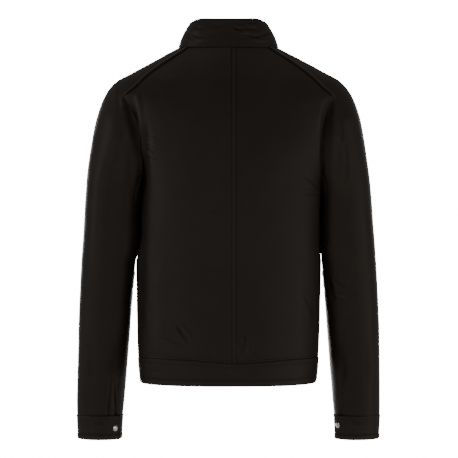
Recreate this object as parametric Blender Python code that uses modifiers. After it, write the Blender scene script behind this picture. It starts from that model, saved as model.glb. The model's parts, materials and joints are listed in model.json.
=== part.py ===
"""Leather jacket with a stand collar, saddle shoulders, a waistband and snapped cuffs.

It is filled out as if worn, with nobody in it. The back faces +Y, the front -Y and the wearer's
left +X. The origin is the middle of the neck, at the height of the collar's seam. Sizes are in
metres and angles in degrees.
"""

import math

import bmesh
import bpy
import numpy as np
from mathutils import Matrix, Vector

# ------------------------------------------------------------------ driving dimensions
LEATHER = 0.0018
BAND = 0.0030
CUFF_BAND = 0.0026
BAND_RISE = BAND - LEATHER
CUFF_RISE = CUFF_BAND - LEATHER
SEAM_GAP = 0.0003
HALF_GAP = SEAM_GAP / 2
BAND_GAP = 0.0005
NECK_GAP = 0.0010

HEM_Z = -0.632
WAIST_SEAM_Z = -0.587
UNDERARM_Z = -0.262
SHOULDER_CORNER_Z = -0.0985
CUFF_SEAM_Z = -0.700
CUFF_END_Z = -0.746
CENTRE_BACK_X = -0.0065

# The neckline is an oval, level round the back and lower at the front.
NECK_HALF_WIDTH = 0.0945
NECK_BACK = 0.070
NECK_FRONT = 0.078
NECK_BACK_Z = -0.006
NECK_SIDE_Z = -0.001
NECK_FRONT_Z = -0.064
NECK_FRONT_FALL = 1.6
# The saddle's ends on the neckline, behind (1) and before (-1), by their angle from the side.
SADDLE_ANGLE = {1: 36.0, -1: 38.0}
NECK_BEND_Z = -0.150

COLLAR_HALF_WIDTH = 0.0715
COLLAR_BACK = 0.058
COLLAR_FRONT = 0.069
COLLAR_BACK_Z = 0.0495
COLLAR_SIDE_Z = 0.0475
COLLAR_FRONT_Z = -0.018
COLLAR_BULGE = 0.0030

# Angles round a sleeve: 0 is its outer side, 90 its back and 180 the side by the body.
UNDER_SLEEVE_ANGLE = 138.0
SLEEVE_FORM_Z = -0.150

FRONT_EDGE_X = 0.005
TAPE_HALF_WIDTH = 0.012
TAPE_THICKNESS = 0.0009
TAPE_GAP = 0.0005
TAPE_CURVE = 0.0008
CHAIN_HALF_WIDTH = 0.0029
CHAIN_RISE = 0.0002

SNAP_RADIUS = 0.006
SNAP_HEIGHT = 0.0024
CUFF_LAP_ANGLE = 42.0
CUFF_TUCK_ANGLE = 55.0
# Columns: a cuff's side, its snap's height and angle round it, and where its lapped end stops.
CUFFS = (
    (1, -0.7235, 132.0, 152.0),
    (-1, -0.7185, 146.0, 164.0),
)

SLIDER_SHARE = 0.74
SLIDER_WIDTH = 0.0088
SLIDER_LENGTH = 0.0130
SLIDER_PLATE = 0.0020
BRIDGE_WIDTH = 0.0020
BRIDGE_SPAN = 0.0080
BRIDGE_BAR = 0.0012
BRIDGE_ROOM = 0.0026
PULL_WIDTH = 0.0068
PULL_LENGTH = 0.0240
PULL_THICKNESS = 0.0014
PULL_EYE_WIDTH = 0.0034
PULL_EYE_LENGTH = 0.0056
PULL_PIN_RADIUS = 0.0008
CLEARANCE = 0.0004

# How many faces each piece has along and across.
PANEL_ROWS = 12
SLEEVE_ROWS = 15
ARMHOLE_ROWS = 9
SADDLE_ROWS = 7
PANEL_COLUMNS = 10
SLEEVE_COLUMNS = 14
UNDER_COLUMNS = 6
COLLAR_COLUMNS = 40
COLLAR_ROWS = 4
WAIST_COLUMNS = 52
WAIST_ROWS = 2
CUFF_COLUMNS_ROUND = 32
CUFF_ROWS = 2
EDGE_FACE = 0.003
DENSE = 160


class Table:
    """Rows of numbers with named columns, read at any height by smooth steps without overshoot."""

    def __init__(self, columns, rows):
        self.columns = columns
        self.rows = np.array(sorted(rows))

    def at(self, z):
        key = self.rows[:, 0]
        z = min(max(z, key[0]), key[-1])
        index = min(int(np.searchsorted(key, z, side="right")) - 1, len(key) - 2)
        widths = np.diff(key)[:, None]
        slopes = np.diff(self.rows, axis=0) / widths
        before = slopes[:-1]
        after = slopes[1:]
        same = before * after > 0
        total = np.where(same, before + after, 1.0)
        middle = np.where(same, 2 * before * after / total, 0.0)
        tangents = np.vstack((slopes[:1], middle, slopes[-1:]))
        width = widths[index]
        t = (z - key[index]) / width
        start = self.rows[index]
        end = self.rows[index + 1]
        values = (
            start * (1 + 2 * t) * (1 - t) ** 2
            + tangents[index] * width * t * (1 - t) ** 2
            + end * t * t * (3 - 2 * t)
            + tangents[index + 1] * width * t * t * (t - 1)
        )
        return dict(zip(self.columns, values))


# The body's level sections: half its width, its depth behind and before the side, and how square.
BODY = Table(
    ("z", "half_width", "back", "front", "square"),
    (
        (-0.632, 0.1665, 0.1215, 0.1235, 2.45),
        (-0.610, 0.1690, 0.1235, 0.1255, 2.45),
        (-0.587, 0.1708, 0.1250, 0.1270, 2.45),
        (-0.560, 0.1722, 0.1262, 0.1285, 2.45),
        (-0.500, 0.1738, 0.1250, 0.1295, 2.45),
        (-0.411, 0.1755, 0.1265, 0.1335, 2.50),
        (-0.330, 0.1762, 0.1310, 0.1370, 2.50),
        (-0.262, 0.1766, 0.1330, 0.1350, 2.50),
        (-0.250, 0.1788, 0.1330, 0.1340, 2.50),
        (-0.230, 0.1835, 0.1325, 0.1315, 2.48),
        (-0.208, 0.1895, 0.1320, 0.1270, 2.45),
        (-0.153, 0.2055, 0.1260, 0.1140, 2.35),
        (-0.120, 0.2220, 0.1190, 0.1030, 2.30),
        (-0.096, 0.2363, 0.1120, 0.0930, 2.20),
        (-0.0846, 0.2299, 0.1080, 0.0880, 2.15),
        (-0.0675, 0.2154, 0.1020, 0.0800, 2.10),
        (-0.056, 0.1975, 0.0970, 0.0750, 2.05),
        (-0.0333, 0.1550, 0.0860, 0.0650, 2.00),
        (-0.022, 0.1340, 0.0800, 0.0600, 1.95),
        (-0.0105, 0.1126, 0.0735, 0.0540, 1.88),
        (-0.001, 0.0945, 0.0680, 0.0480, 1.80),
    ),
)

# The outline over the shoulders and the sleeve heads.
SHOULDER = Table(
    ("z", "half_width"),
    (
        (-0.168, 0.2579),
        (-0.138, 0.2509),
        (-0.119, 0.2454),
        (-0.107, 0.2413),
        (-0.096, 0.2363),
        (-0.0846, 0.2299),
        (-0.0732, 0.2213),
        (-0.0675, 0.2154),
        (-0.0618, 0.2079),
        (-0.056, 0.1975),
        (-0.0447, 0.1760),
        (-0.0333, 0.1550),
        (-0.022, 0.1340),
        (-0.0105, 0.1126),
        (-0.001, 0.0945),
    ),
)

# The sleeve's level sections.
SLEEVE = Table(
    ("z", "centre_x", "half_width", "centre_y", "half_depth"),
    (
        (-0.746, 0.2468, 0.0416, -0.038, 0.0400),
        (-0.700, 0.2464, 0.0442, -0.035, 0.0440),
        (-0.670, 0.2452, 0.0460, -0.033, 0.0475),
        (-0.624, 0.2426, 0.0475, -0.029, 0.0515),
        (-0.579, 0.2400, 0.0488, -0.025, 0.0545),
        (-0.533, 0.2374, 0.0498, -0.021, 0.0575),
        (-0.487, 0.2345, 0.0504, -0.017, 0.0605),
        (-0.411, 0.2292, 0.0514, -0.011, 0.0655),
        (-0.350, 0.2270, 0.0496, -0.008, 0.0680),
        (-0.285, 0.2250, 0.0474, -0.005, 0.0700),
        (-0.262, 0.2238, 0.0466, -0.004, 0.0710),
        (-0.208, 0.2115, 0.0520, -0.002, 0.0730),
        (-0.153, 0.2000, 0.0545, -0.001, 0.0750),
        (-0.125, 0.1925, 0.0550, 0.000, 0.0770),
        (-0.096, 0.1820, 0.0543, 0.000, 0.0790),
    ),
)

# Where the sleeve's seam crosses each level: up the armhole, round its corner, along the saddle.
ARMHOLE = {
    1: Table(
        ("z", "x"),
        (
            (-0.262, 0.1766),
            (-0.250, 0.1764),
            (-0.208, 0.1748),
            (-0.180, 0.1750),
            (-0.156, 0.1765),
            (-0.127, 0.1835),
            (-0.110, 0.1885),
            (-0.0985, 0.1945),
            (-0.0820, 0.1760),
            (-0.0610, 0.1543),
            (-0.0385, 0.1260),
            (-0.0043, 0.0765),
        ),
    ),
    -1: Table(
        ("z", "x"),
        (
            (-0.262, 0.1766),
            (-0.250, 0.1760),
            (-0.208, 0.1710),
            (-0.180, 0.1695),
            (-0.156, 0.1710),
            (-0.127, 0.1765),
            (-0.110, 0.1820),
            (-0.0985, 0.1870),
            (-0.0820, 0.1690),
            (-0.0660, 0.1450),
            (-0.0500, 0.1120),
            (-0.0300, 0.0745),
        ),
    ),
}


# ------------------------------------------------------------------ the jacket's form
def power(value, exponent):
    return math.copysign(abs(value) ** exponent, value)


def smooth_step(value, low, high):
    t = min(max((value - low) / (high - low), 0.0), 1.0)
    return t * t * (3 - 2 * t)


def unit(vector):
    return vector / np.linalg.norm(vector)


def body_point(z, angle, half_width=None):
    """The body's surface at a level, by the angle from the wearer's left: 90 is the back."""
    ring = BODY.at(z)
    width = ring["half_width"] if half_width is None else half_width
    turn = math.radians(angle)
    depth = ring["back"] if math.sin(turn) >= 0 else ring["front"]
    exponent = 2 / ring["square"]
    x = width * power(math.cos(turn), exponent)
    y = depth * power(math.sin(turn), exponent)
    return np.array((x, y, z))


def body_angle(x, z, half_width=None):
    """The angle at which the body's surface, behind the side, has this x."""
    ring = BODY.at(z)
    width = ring["half_width"] if half_width is None else half_width
    share = min(max(x / width, -1.0), 1.0)
    return math.degrees(math.acos(power(share, ring["square"] / 2)))


def shoulder_point(z, angle):
    return body_point(z, angle, SHOULDER.at(z)["half_width"])


def shoulder_angle(x, z):
    return body_angle(x, z, SHOULDER.at(z)["half_width"])


def sleeve_point(z, angle):
    ring = SLEEVE.at(z)
    turn = math.radians(angle)
    x = ring["centre_x"] + ring["half_width"] * math.cos(turn)
    y = ring["centre_y"] + ring["half_depth"] * math.sin(turn)
    return np.array((x, y, z))


def sleeve_angle(point):
    ring = SLEEVE.at(point[2])
    across = (point[0] - ring["centre_x"]) / ring["half_width"]
    behind = (point[1] - ring["centre_y"]) / ring["half_depth"]
    return math.degrees(math.atan2(behind, across)) % 360


def neck_point(angle):
    """The neckline: 90 is the centre back, 0 the side and -90 the centre front."""
    turn = math.radians(angle)
    sine = math.sin(turn)
    x = NECK_HALF_WIDTH * math.cos(turn)
    if sine >= 0:
        return np.array((x, NECK_BACK * sine, NECK_SIDE_Z + (NECK_BACK_Z - NECK_SIDE_Z) * sine))
    fall = abs(sine) ** NECK_FRONT_FALL
    return np.array((x, NECK_FRONT * sine, NECK_SIDE_Z + (NECK_FRONT_Z - NECK_SIDE_Z) * fall))


def collar_top(angle):
    turn = math.radians(angle)
    sine = math.sin(turn)
    x = COLLAR_HALF_WIDTH * math.cos(turn)
    if sine >= 0:
        z = COLLAR_SIDE_Z + (COLLAR_BACK_Z - COLLAR_SIDE_Z) * sine
        return np.array((x, COLLAR_BACK * sine, z))
    fall = abs(sine) ** NECK_FRONT_FALL
    z = COLLAR_SIDE_Z + (COLLAR_FRONT_Z - COLLAR_SIDE_Z) * fall
    return np.array((x, COLLAR_FRONT * sine, z))


def collar_point(angle, share):
    """The collar's outer face, from its seam at 0 to its top edge at 1, a little full between."""
    point = neck_point(angle) * (1 - share) + collar_top(angle) * share
    out = unit(np.array((point[0], point[1], 0.0)))
    return point + out * (BAND_RISE + COLLAR_BULGE * math.sin(math.pi * share))


def neck_corner(face):
    """Where the saddle's seam meets the neckline."""
    return neck_point(face * SADDLE_ANGLE[face])


def neck_lift(z, face):
    """How far up a level is, from 0 where rows start to bend, to 1 at the neckline."""
    return max((z - NECK_BEND_Z) / (neck_corner(face)[2] - NECK_BEND_Z), 0.0)


def neck_miss(neck):
    """How far the neckline lies from the body's own surface."""
    angle = math.copysign(body_angle(neck[0], neck[2]), neck[1])
    return neck - body_point(neck[2], angle)


def armhole_point(z, face):
    """The sleeve's seam on the body: face 1 behind, -1 before."""
    x = ARMHOLE[face].at(z)["x"]
    point = body_point(z, face * body_angle(x, z))
    return point + neck_miss(neck_corner(face)) * neck_lift(z, face) ** 3


def sleeve_edge_point(z, face):
    """The same seam on the sleeve, one gap away: outwards at the armhole, upwards on the saddle."""
    step = 0.001
    here = armhole_point(z, face)
    if z < SHOULDER_CORNER_Z - step:
        along_armhole = 1.0
    else:
        along_armhole = 1 - smooth_step(z, SHOULDER_CORNER_Z - step, SHOULDER_CORNER_Z + 0.004)
    along = armhole_point(z + step, face) - armhole_point(z - step, face)
    normal = unit(here - np.array((0.0, 0.0, z - 0.10)))
    across = unit(np.cross(along, normal))
    across = across * math.copysign(1, across[0] + across[2])
    shift = unit(across * (1 - along_armhole) + np.array((1.0, 0.0, 0.0)) * along_armhole)
    return here + shift * (SEAM_GAP + HALF_GAP)


# ------------------------------------------------------------------ rows of points
def even_row(points, faces, trim_start=0.0, trim_end=0.0):
    """The same line, its ends trimmed, with even faces between a narrow one along each seam."""
    points = np.array(points)
    lengths = np.linalg.norm(np.diff(points, axis=0), axis=1)
    along = np.concatenate(((0.0,), np.cumsum(lengths)))
    low = trim_start
    high = along[-1] - trim_end
    middle = np.linspace(low + EDGE_FACE, high - EDGE_FACE, faces - 1)
    places = np.concatenate(((low,), middle, (high,)))
    return np.stack([np.interp(places, along, points[:, axis]) for axis in range(3)], axis=1)


def to_side(rows, side):
    return np.array(rows) * np.array((side, 1.0, 1.0))


def panel_row(end_z, face, start_x):
    """A row of a back or front panel, from the centre to the side seam or to the sleeve.

    Low rows are level. Rows near the top bend into the neckline.
    """
    lift = neck_lift(end_z, face)
    on_side = end_z <= UNDERARM_Z
    start = body_angle(start_x, end_z)
    end = 0.0 if on_side else body_angle(ARMHOLE[face].at(end_z)["x"], end_z)
    neck_start = math.degrees(math.acos(start_x / NECK_HALF_WIDTH))
    shares = np.linspace(0, 1, DENSE)
    line = []
    for share in shares:
        neck = neck_point(face * (neck_start + (SADDLE_ANGLE[face] - neck_start) * share))
        z = NECK_BEND_Z + (neck[2] - NECK_BEND_Z) * lift if lift else end_z
        level_angle = start + (end - start) * share
        neck_angle = body_angle(neck[0], neck[2])
        blend = lift ** 2
        point = body_point(z, face * (level_angle * (1 - blend) + neck_angle * blend))
        line.append(point + neck_miss(neck) * lift ** 3)
    line = np.array(line)
    start_miss = np.array((start_x - line[0, 0], 0.0, 0.0))
    end_miss = np.zeros(3) if on_side else armhole_point(end_z, face) - line[-1]
    line = pin_ends(line, shares, (start_miss, end_miss))
    row = even_row(line, PANEL_COLUMNS, 0.0, HALF_GAP if on_side else 0.0)
    row[:, 2] -= NECK_GAP * smooth_step(lift, 0.9, 1.0)
    return row


def panel_rows(face, start_x):
    return [panel_row(z, face, start_x) for z in panel_levels(neck_corner(face)[2])]


def levels_above_underarm(top):
    """The levels that the body and the sleeve share: up the armhole, then along the saddle."""
    armhole = np.linspace(UNDERARM_Z, SHOULDER_CORNER_Z, ARMHOLE_ROWS + 1)
    saddle = np.linspace(SHOULDER_CORNER_Z, top, SADDLE_ROWS + 1)
    return list(armhole[1:]) + list(saddle[1:])


def panel_levels(top):
    lower = np.linspace(WAIST_SEAM_Z + BAND_GAP, UNDERARM_Z, PANEL_ROWS + 1)
    return list(lower) + levels_above_underarm(top)


def sleeve_blend(z, shares, ends):
    """A level of the sleeve's form, from the seam behind, round the outer side, to the one before."""
    on_sleeve = 1 - smooth_step(z, SLEEVE_FORM_Z, SHOULDER_CORNER_Z)
    around = [sleeve_angle(end) for end in ends]
    around[1] -= 360 if around[1] > 0 else 0
    over = [shoulder_angle(ends[0][0], z), -shoulder_angle(ends[1][0], z)]
    points = []
    for share in shares:
        face = 0 if share < 0.5 else 1
        reach = abs(2 * share - 1)
        arm = sleeve_point(z, around[face] * reach)
        yoke = shoulder_point(z, over[face] * reach) if z > SLEEVE_FORM_Z else arm
        points.append(arm * on_sleeve + yoke * (1 - on_sleeve))
    return np.array(points)


def pin_ends(points, shares, misses):
    """Eases a row's ends onto its seams."""
    for index, share in enumerate(shares):
        start = max(1 - share / 0.4, 0.0) ** 2
        end = max(1 - (1 - share) / 0.4, 0.0) ** 2
        points[index] += start * misses[0]
        points[index] += end * misses[1]
    return points


SPLIT_Z = {}


def split_level(face):
    """Where the seam between the top sleeve and the under sleeve leaves the armhole."""
    if face not in SPLIT_Z:
        for z in np.arange(SLEEVE_FORM_Z, UNDERARM_Z, -0.0005):
            angle = sleeve_angle(sleeve_edge_point(z, face))
            if abs(angle if face > 0 else angle - 360) >= UNDER_SLEEVE_ANGLE:
                break
        SPLIT_Z[face] = z
    return SPLIT_Z[face]


def seam_ends(z):
    """The two ends of the top sleeve at a level, and how far they miss the sleeve's form."""
    ends = []
    for face in (1, -1):
        split = split_level(face)
        if z >= split:
            ends.append(sleeve_edge_point(z, face))
            continue
        corner = sleeve_edge_point(split, face)
        miss = corner - sleeve_point(split, sleeve_angle(corner))
        fade = 1 - smooth_step(split - z, 0.0, 0.06)
        ends.append(sleeve_point(z, face * UNDER_SLEEVE_ANGLE) + miss * fade)
    return ends


def top_sleeve_row(z):
    shares = np.linspace(0, 1, DENSE)
    ends = seam_ends(z)
    points = sleeve_blend(z, shares, ends)
    misses = (ends[0] - points[0], ends[1] - points[-1])
    points = pin_ends(points, shares, misses)
    below = [HALF_GAP if z < split_level(face) else 0.0 for face in (1, -1)]
    return even_row(points, SLEEVE_COLUMNS, below[0], below[1])


def saddle_row(lift):
    """A row between the shoulder's corner, where lift is 0, and the neckline, where it is 1."""
    shares = np.linspace(0, 1, DENSE)
    neck_angles = SADDLE_ANGLE[1] - (SADDLE_ANGLE[1] + SADDLE_ANGLE[-1]) * shares
    necks = np.array([neck_point(angle) for angle in neck_angles])
    levels = SHOULDER_CORNER_Z + (necks[:, 2] - SHOULDER_CORNER_Z) * lift
    ends = (sleeve_edge_point(levels[0], 1), sleeve_edge_point(levels[-1], -1))
    over = (shoulder_angle(ends[0][0], levels[0]), -shoulder_angle(ends[1][0], levels[-1]))
    points = []
    for share, z, neck in zip(shares, levels, necks):
        level_angle = over[0 if share < 0.5 else 1] * abs(2 * share - 1)
        neck_angle = math.copysign(shoulder_angle(neck[0], neck[2]), neck[1])
        blend = lift ** 2
        point = shoulder_point(z, level_angle * (1 - blend) + neck_angle * blend)
        miss = neck - shoulder_point(neck[2], neck_angle)
        points.append(point + miss * lift ** 3)
    points = np.array(points)
    misses = (ends[0] - points[0], ends[1] - points[-1])
    points = pin_ends(points, shares, misses)
    points[:, 2] -= NECK_GAP * smooth_step(lift, 0.9, 1.0)
    return even_row(points, SLEEVE_COLUMNS)


def top_sleeve_rows():
    lower = np.linspace(CUFF_SEAM_Z + BAND_GAP, UNDERARM_Z, SLEEVE_ROWS + 1)
    upper = np.linspace(UNDERARM_Z, SHOULDER_CORNER_Z, ARMHOLE_ROWS + 1)
    rows = [top_sleeve_row(z) for z in list(lower) + list(upper[1:])]
    rows += [saddle_row(lift) for lift in np.linspace(0, 1, SADDLE_ROWS + 1)[1:]]
    return rows


def armhole_bottom():
    """The under sleeve's share of the armhole: angles round the sleeve and their seam points."""
    angles = []
    points = []
    for face in (1, -1):
        levels = np.linspace(split_level(face), UNDERARM_Z, 30)
        part = [sleeve_edge_point(z, face) for z in levels]
        if face < 0:
            part = part[::-1][1:]
        for point in part:
            angles.append(sleeve_angle(point))
            points.append(point)
    return np.array(angles), np.array(points)


def under_sleeve_rows():
    angles, seam = armhole_bottom()
    shares = np.linspace(0, 1, DENSE)
    around = UNDER_SLEEVE_ANGLE + (360 - 2 * UNDER_SLEEVE_ANGLE) * shares
    order = np.argsort(angles)
    top = np.stack([np.interp(around, angles[order], seam[order, axis]) for axis in range(3)], axis=1)
    levels = np.linspace(0, 1, SLEEVE_ROWS + 1)
    rows = []
    for share in levels:
        points = []
        for angle, goal in zip(around, top):
            flat = CUFF_SEAM_Z + BAND_GAP + (UNDERARM_Z - CUFF_SEAM_Z - BAND_GAP) * share
            z = flat + (goal[2] - UNDERARM_Z) * share ** 6
            miss = goal - sleeve_point(goal[2], angle)
            points.append(sleeve_point(z, angle) + miss * smooth_step(z, goal[2] - 0.06, goal[2]))
        rows.append(even_row(points, UNDER_COLUMNS, SEAM_GAP, SEAM_GAP))
    return rows


def raised(point, centre, rise):
    """The point moved out, level, from the middle of its ring."""
    out = np.array((point[0] - centre[0], point[1] - centre[1], 0.0))
    return point + unit(out) * rise


def waistband_rows():
    rows = []
    for z in np.linspace(HEM_Z, WAIST_SEAM_Z - HALF_GAP, WAIST_ROWS + 1):
        edge = body_angle(FRONT_EDGE_X, z)
        line = []
        for share in np.linspace(0, 1, 4 * DENSE):
            point = body_point(z, -edge + (180 + 2 * edge) * share)
            line.append(raised(point, (0, 0), BAND_RISE))
        row = even_row(line, WAIST_COLUMNS)
        row[0, 0] = FRONT_EDGE_X
        row[-1, 0] = -FRONT_EDGE_X
        rows.append(row)
    return rows


def collar_rows():
    edge = math.degrees(math.acos(FRONT_EDGE_X / NECK_HALF_WIDTH))
    rows = []
    for share in np.linspace(0, 1, COLLAR_ROWS + 1):
        angles = np.linspace(-edge, 180 + edge, 4 * DENSE)
        line = [collar_point(angle, share) for angle in angles]
        row = even_row(line, COLLAR_COLUMNS)
        row[0, 0] = FRONT_EDGE_X
        row[-1, 0] = -FRONT_EDGE_X
        rows.append(row)
    return rows


def cuff_lift(turned):
    """How far the cuff stands out, by the angle turned from its lapped end."""
    lapped = CUFF_BAND + 2 * SEAM_GAP
    return CUFF_RISE + lapped * (1 - smooth_step(turned, CUFF_TUCK_ANGLE, 2 * CUFF_TUCK_ANGLE))


def cuff_point(z, angle, turned):
    ring = SLEEVE.at(z)
    centre = (ring["centre_x"], ring["centre_y"])
    return raised(sleeve_point(z, angle), centre, cuff_lift(turned))


def cuff_rows(end_angle):
    rows = []
    for z in np.linspace(CUFF_END_Z, CUFF_SEAM_Z - HALF_GAP, CUFF_ROWS + 1):
        turns = np.linspace(0, 360 + CUFF_LAP_ANGLE, 4 * DENSE)
        rows.append(even_row([cuff_point(z, end_angle - t, t) for t in turns], CUFF_COLUMNS_ROUND))
    return rows


def front_path():
    """The centre front's outer face, from the hem to the collar's top edge."""
    rows = list(waistband_rows()) + panel_rows(-1, FRONT_EDGE_X)
    path = [row[0] for row in rows] + [row[0] for row in collar_rows()]
    path = np.array(path)
    path[:, 0] = 0.0
    path[: WAIST_ROWS + 1, 1] += BAND_RISE
    path[-COLLAR_ROWS - 1 :, 1] += BAND_RISE
    return path


# ------------------------------------------------------------------ scene helpers
def clear_scene():
    for obj in list(bpy.data.objects):
        bpy.data.objects.remove(obj, do_unlink=True)


def make_collection(name):
    collection = bpy.data.collections.new(name)
    bpy.context.scene.collection.children.link(collection)
    return collection


def make_material(name, colour, roughness, metallic=0.0):
    material = bpy.data.materials.new(name)
    material.use_nodes = True
    shader = material.node_tree.nodes["Principled BSDF"]
    shader.inputs["Base Color"].default_value = (*colour, 1.0)
    shader.inputs["Roughness"].default_value = roughness
    shader.inputs["Metallic"].default_value = metallic
    return material


def finish(obj, collection, material, smooth_angle=40.0):
    for user in list(obj.users_collection):
        user.objects.unlink(obj)
    collection.objects.link(obj)
    obj.data.materials.clear()
    obj.data.materials.append(material)
    obj.data.shade_smooth()
    obj.data.set_sharp_from_angle(angle=math.radians(smooth_angle))
    return obj


def object_from(name, mesh_builder, collection, material):
    mesh = bpy.data.meshes.new(name)
    mesh_builder.normal_update()
    mesh_builder.to_mesh(mesh)
    mesh_builder.free()
    obj = bpy.data.objects.new(name, mesh)
    collection.objects.link(obj)
    return finish(obj, collection, material)


def add_shell(name, rows, side, wall, collection, material):
    """A wall with its outer face through the rows of points. Side is 1 where they run leftwards."""
    builder = bmesh.new()
    grid = [[builder.verts.new(point) for point in row] for row in rows]
    for lower, upper in zip(grid, grid[1:]):
        for column in range(len(lower) - 1):
            corners = [lower[column], upper[column], upper[column + 1], lower[column + 1]]
            builder.faces.new(corners if side > 0 else corners[::-1])
    obj = object_from(name, builder, collection, material)
    solidify = obj.modifiers.new("Wall", "SOLIDIFY")
    solidify.thickness = wall
    solidify.offset = -1.0
    solidify.use_even_offset = True
    return obj


def add_box(name, size, centre, frame, collection, material, bevel=0.0):
    bpy.ops.mesh.primitive_cube_add(size=1.0)
    obj = bpy.context.object
    obj.name = name
    obj.data.name = name
    obj.data.transform(Matrix.Diagonal((*size, 1.0)))
    obj.data.transform(Matrix.Translation(centre))
    obj.matrix_world = frame
    if bevel:
        modifier = obj.modifiers.new("Edge", "BEVEL")
        modifier.width = bevel
        modifier.segments = 2
    return finish(obj, collection, material)


def join_to(target, others):
    """Unites other pieces of one casting with the target, and removes them."""
    for other in others:
        union = target.modifiers.new("Join " + other.name, "BOOLEAN")
        union.operation = "UNION"
        union.object = other
    bpy.context.view_layer.update()
    graph = bpy.context.evaluated_depsgraph_get()
    mesh = bpy.data.meshes.new_from_object(target.evaluated_get(graph))
    target.modifiers.clear()
    target.data = mesh
    mesh.name = target.name
    for other in others:
        bpy.data.objects.remove(other, do_unlink=True)
    mesh.shade_smooth()
    mesh.set_sharp_from_angle(angle=math.radians(30))


# ------------------------------------------------------------------ the pieces
def add_back(collection, leather):
    for side, name in ((1, "back_left"), (-1, "back_right")):
        rows = panel_rows(1, side * CENTRE_BACK_X + HALF_GAP)
        add_shell(name, to_side(rows, side), side, LEATHER, collection, leather)


def add_front(collection, leather):
    rows = panel_rows(-1, FRONT_EDGE_X)
    for side, name in ((1, "front_left"), (-1, "front_right")):
        add_shell(name, to_side(rows, side), -side, LEATHER, collection, leather)


def add_sleeves(collection, leather):
    top = top_sleeve_rows()
    under = under_sleeve_rows()
    for side, word in ((1, "left"), (-1, "right")):
        add_shell(f"top_sleeve_{word}", to_side(top, side), side, LEATHER, collection, leather)
        add_shell(f"under_sleeve_{word}", to_side(under, side), -side, LEATHER, collection, leather)


def add_bands(collection, leather):
    add_shell("waistband", waistband_rows(), -1, BAND, collection, leather)
    add_shell("collar", collar_rows(), -1, BAND, collection, leather)
    for side, snap_z, snap_angle, end_angle in CUFFS:
        word = "left" if side > 0 else "right"
        rows = to_side(cuff_rows(end_angle), side)
        add_shell(f"cuff_{word}", rows, side, CUFF_BAND, collection, leather)


def add_snaps(collection, metal):
    """A domed cap on each cuff's lapped end."""
    for side, snap_z, snap_angle, end_angle in CUFFS:
        word = "left" if side > 0 else "right"
        turned = end_angle - snap_angle
        mirror = np.array((side, 1.0, 1.0))
        centre = cuff_point(snap_z, snap_angle, turned) * mirror
        ahead = cuff_point(snap_z, snap_angle + 1, turned) * mirror
        above = cuff_point(snap_z + 0.001, snap_angle, turned) * mirror
        normal = Vector(np.cross(ahead - centre, above - centre)).normalized() * side
        profile = bmesh.new()
        steps = [profile.verts.new((SNAP_RADIUS * 0.96, 0, 0))]
        for angle in (0, 30, 60, 90):
            turn = math.radians(angle)
            x = SNAP_RADIUS * math.cos(turn)
            z = SNAP_HEIGHT * (0.35 + 0.65 * math.sin(turn))
            steps.append(profile.verts.new((max(x, 0.0), 0, z)))
        steps.append(profile.verts.new((0, 0, 0)))
        loop = [steps[-2], *steps[-3::-1], steps[-1]]
        for first, second in zip(loop, loop[1:]):
            profile.edges.new((first, second))
        obj = object_from(f"snap_cap_{word}", profile, collection, metal)
        screw = obj.modifiers.new("Turn", "SCREW")
        screw.steps = 20
        screw.render_steps = 20
        screw.use_merge_vertices = True
        screw.merge_threshold = 0.00001
        obj.location = Vector(centre) + normal * SEAM_GAP
        obj.rotation_mode = "QUATERNION"
        obj.rotation_quaternion = normal.to_track_quat("Z", "Y")


def path_normals(path):
    """Unit vectors out of the front, square to the path, in the plane x = 0."""
    tangents = np.gradient(path, axis=0)
    normals = np.stack((np.zeros(len(path)), -tangents[:, 2], tangents[:, 1]), axis=1)
    return normals / np.linalg.norm(normals, axis=1)[:, None]


def add_zip(collection, tape):
    """The closed zip: a tape behind both front edges with the chain between them."""
    path = front_path()
    normals = path_normals(path)
    tape_out = -(LEATHER + TAPE_GAP)
    tape_in = tape_out - TAPE_THICKNESS
    section = (
        (0.0, tape_in),
        (-TAPE_HALF_WIDTH, tape_in - TAPE_CURVE),
        (-TAPE_HALF_WIDTH, tape_out - TAPE_CURVE),
        (-CHAIN_HALF_WIDTH, tape_out),
        (-CHAIN_HALF_WIDTH, CHAIN_RISE),
        (CHAIN_HALF_WIDTH, CHAIN_RISE),
        (CHAIN_HALF_WIDTH, tape_out),
        (TAPE_HALF_WIDTH, tape_out - TAPE_CURVE),
        (TAPE_HALF_WIDTH, tape_in - TAPE_CURVE),
    )
    builder = bmesh.new()
    rings = []
    for point, normal in zip(path, normals):
        ring = [builder.verts.new(point + np.array((x, 0, 0)) + normal * out) for x, out in section]
        rings.append(ring)
    count = len(section)
    for lower, upper in zip(rings, rings[1:]):
        for index in range(count):
            after = (index + 1) % count
            builder.faces.new((lower[index], lower[after], upper[after], upper[index]))
    builder.faces.new(rings[0][::-1])
    builder.faces.new(rings[-1])
    bmesh.ops.recalc_face_normals(builder, faces=builder.faces)
    object_from("zip_chain_and_tape", builder, collection, tape)


def slider_frame():
    """The slider's own axes on the collar's front: x across, y up along the zip, z out."""
    edge = -math.degrees(math.acos(FRONT_EDGE_X / NECK_HALF_WIDTH))
    low = collar_point(edge, SLIDER_SHARE - 0.1)
    high = collar_point(edge, SLIDER_SHARE + 0.1)
    up = Vector((0.0, high[1] - low[1], high[2] - low[2])).normalized()
    across = Vector((1.0, 0.0, 0.0))
    out = across.cross(up)
    place = collar_point(edge, SLIDER_SHARE)
    frame = Matrix((across, up, out)).transposed().to_4x4()
    frame.translation = Vector((0.0, place[1], place[2]))
    return frame


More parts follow.
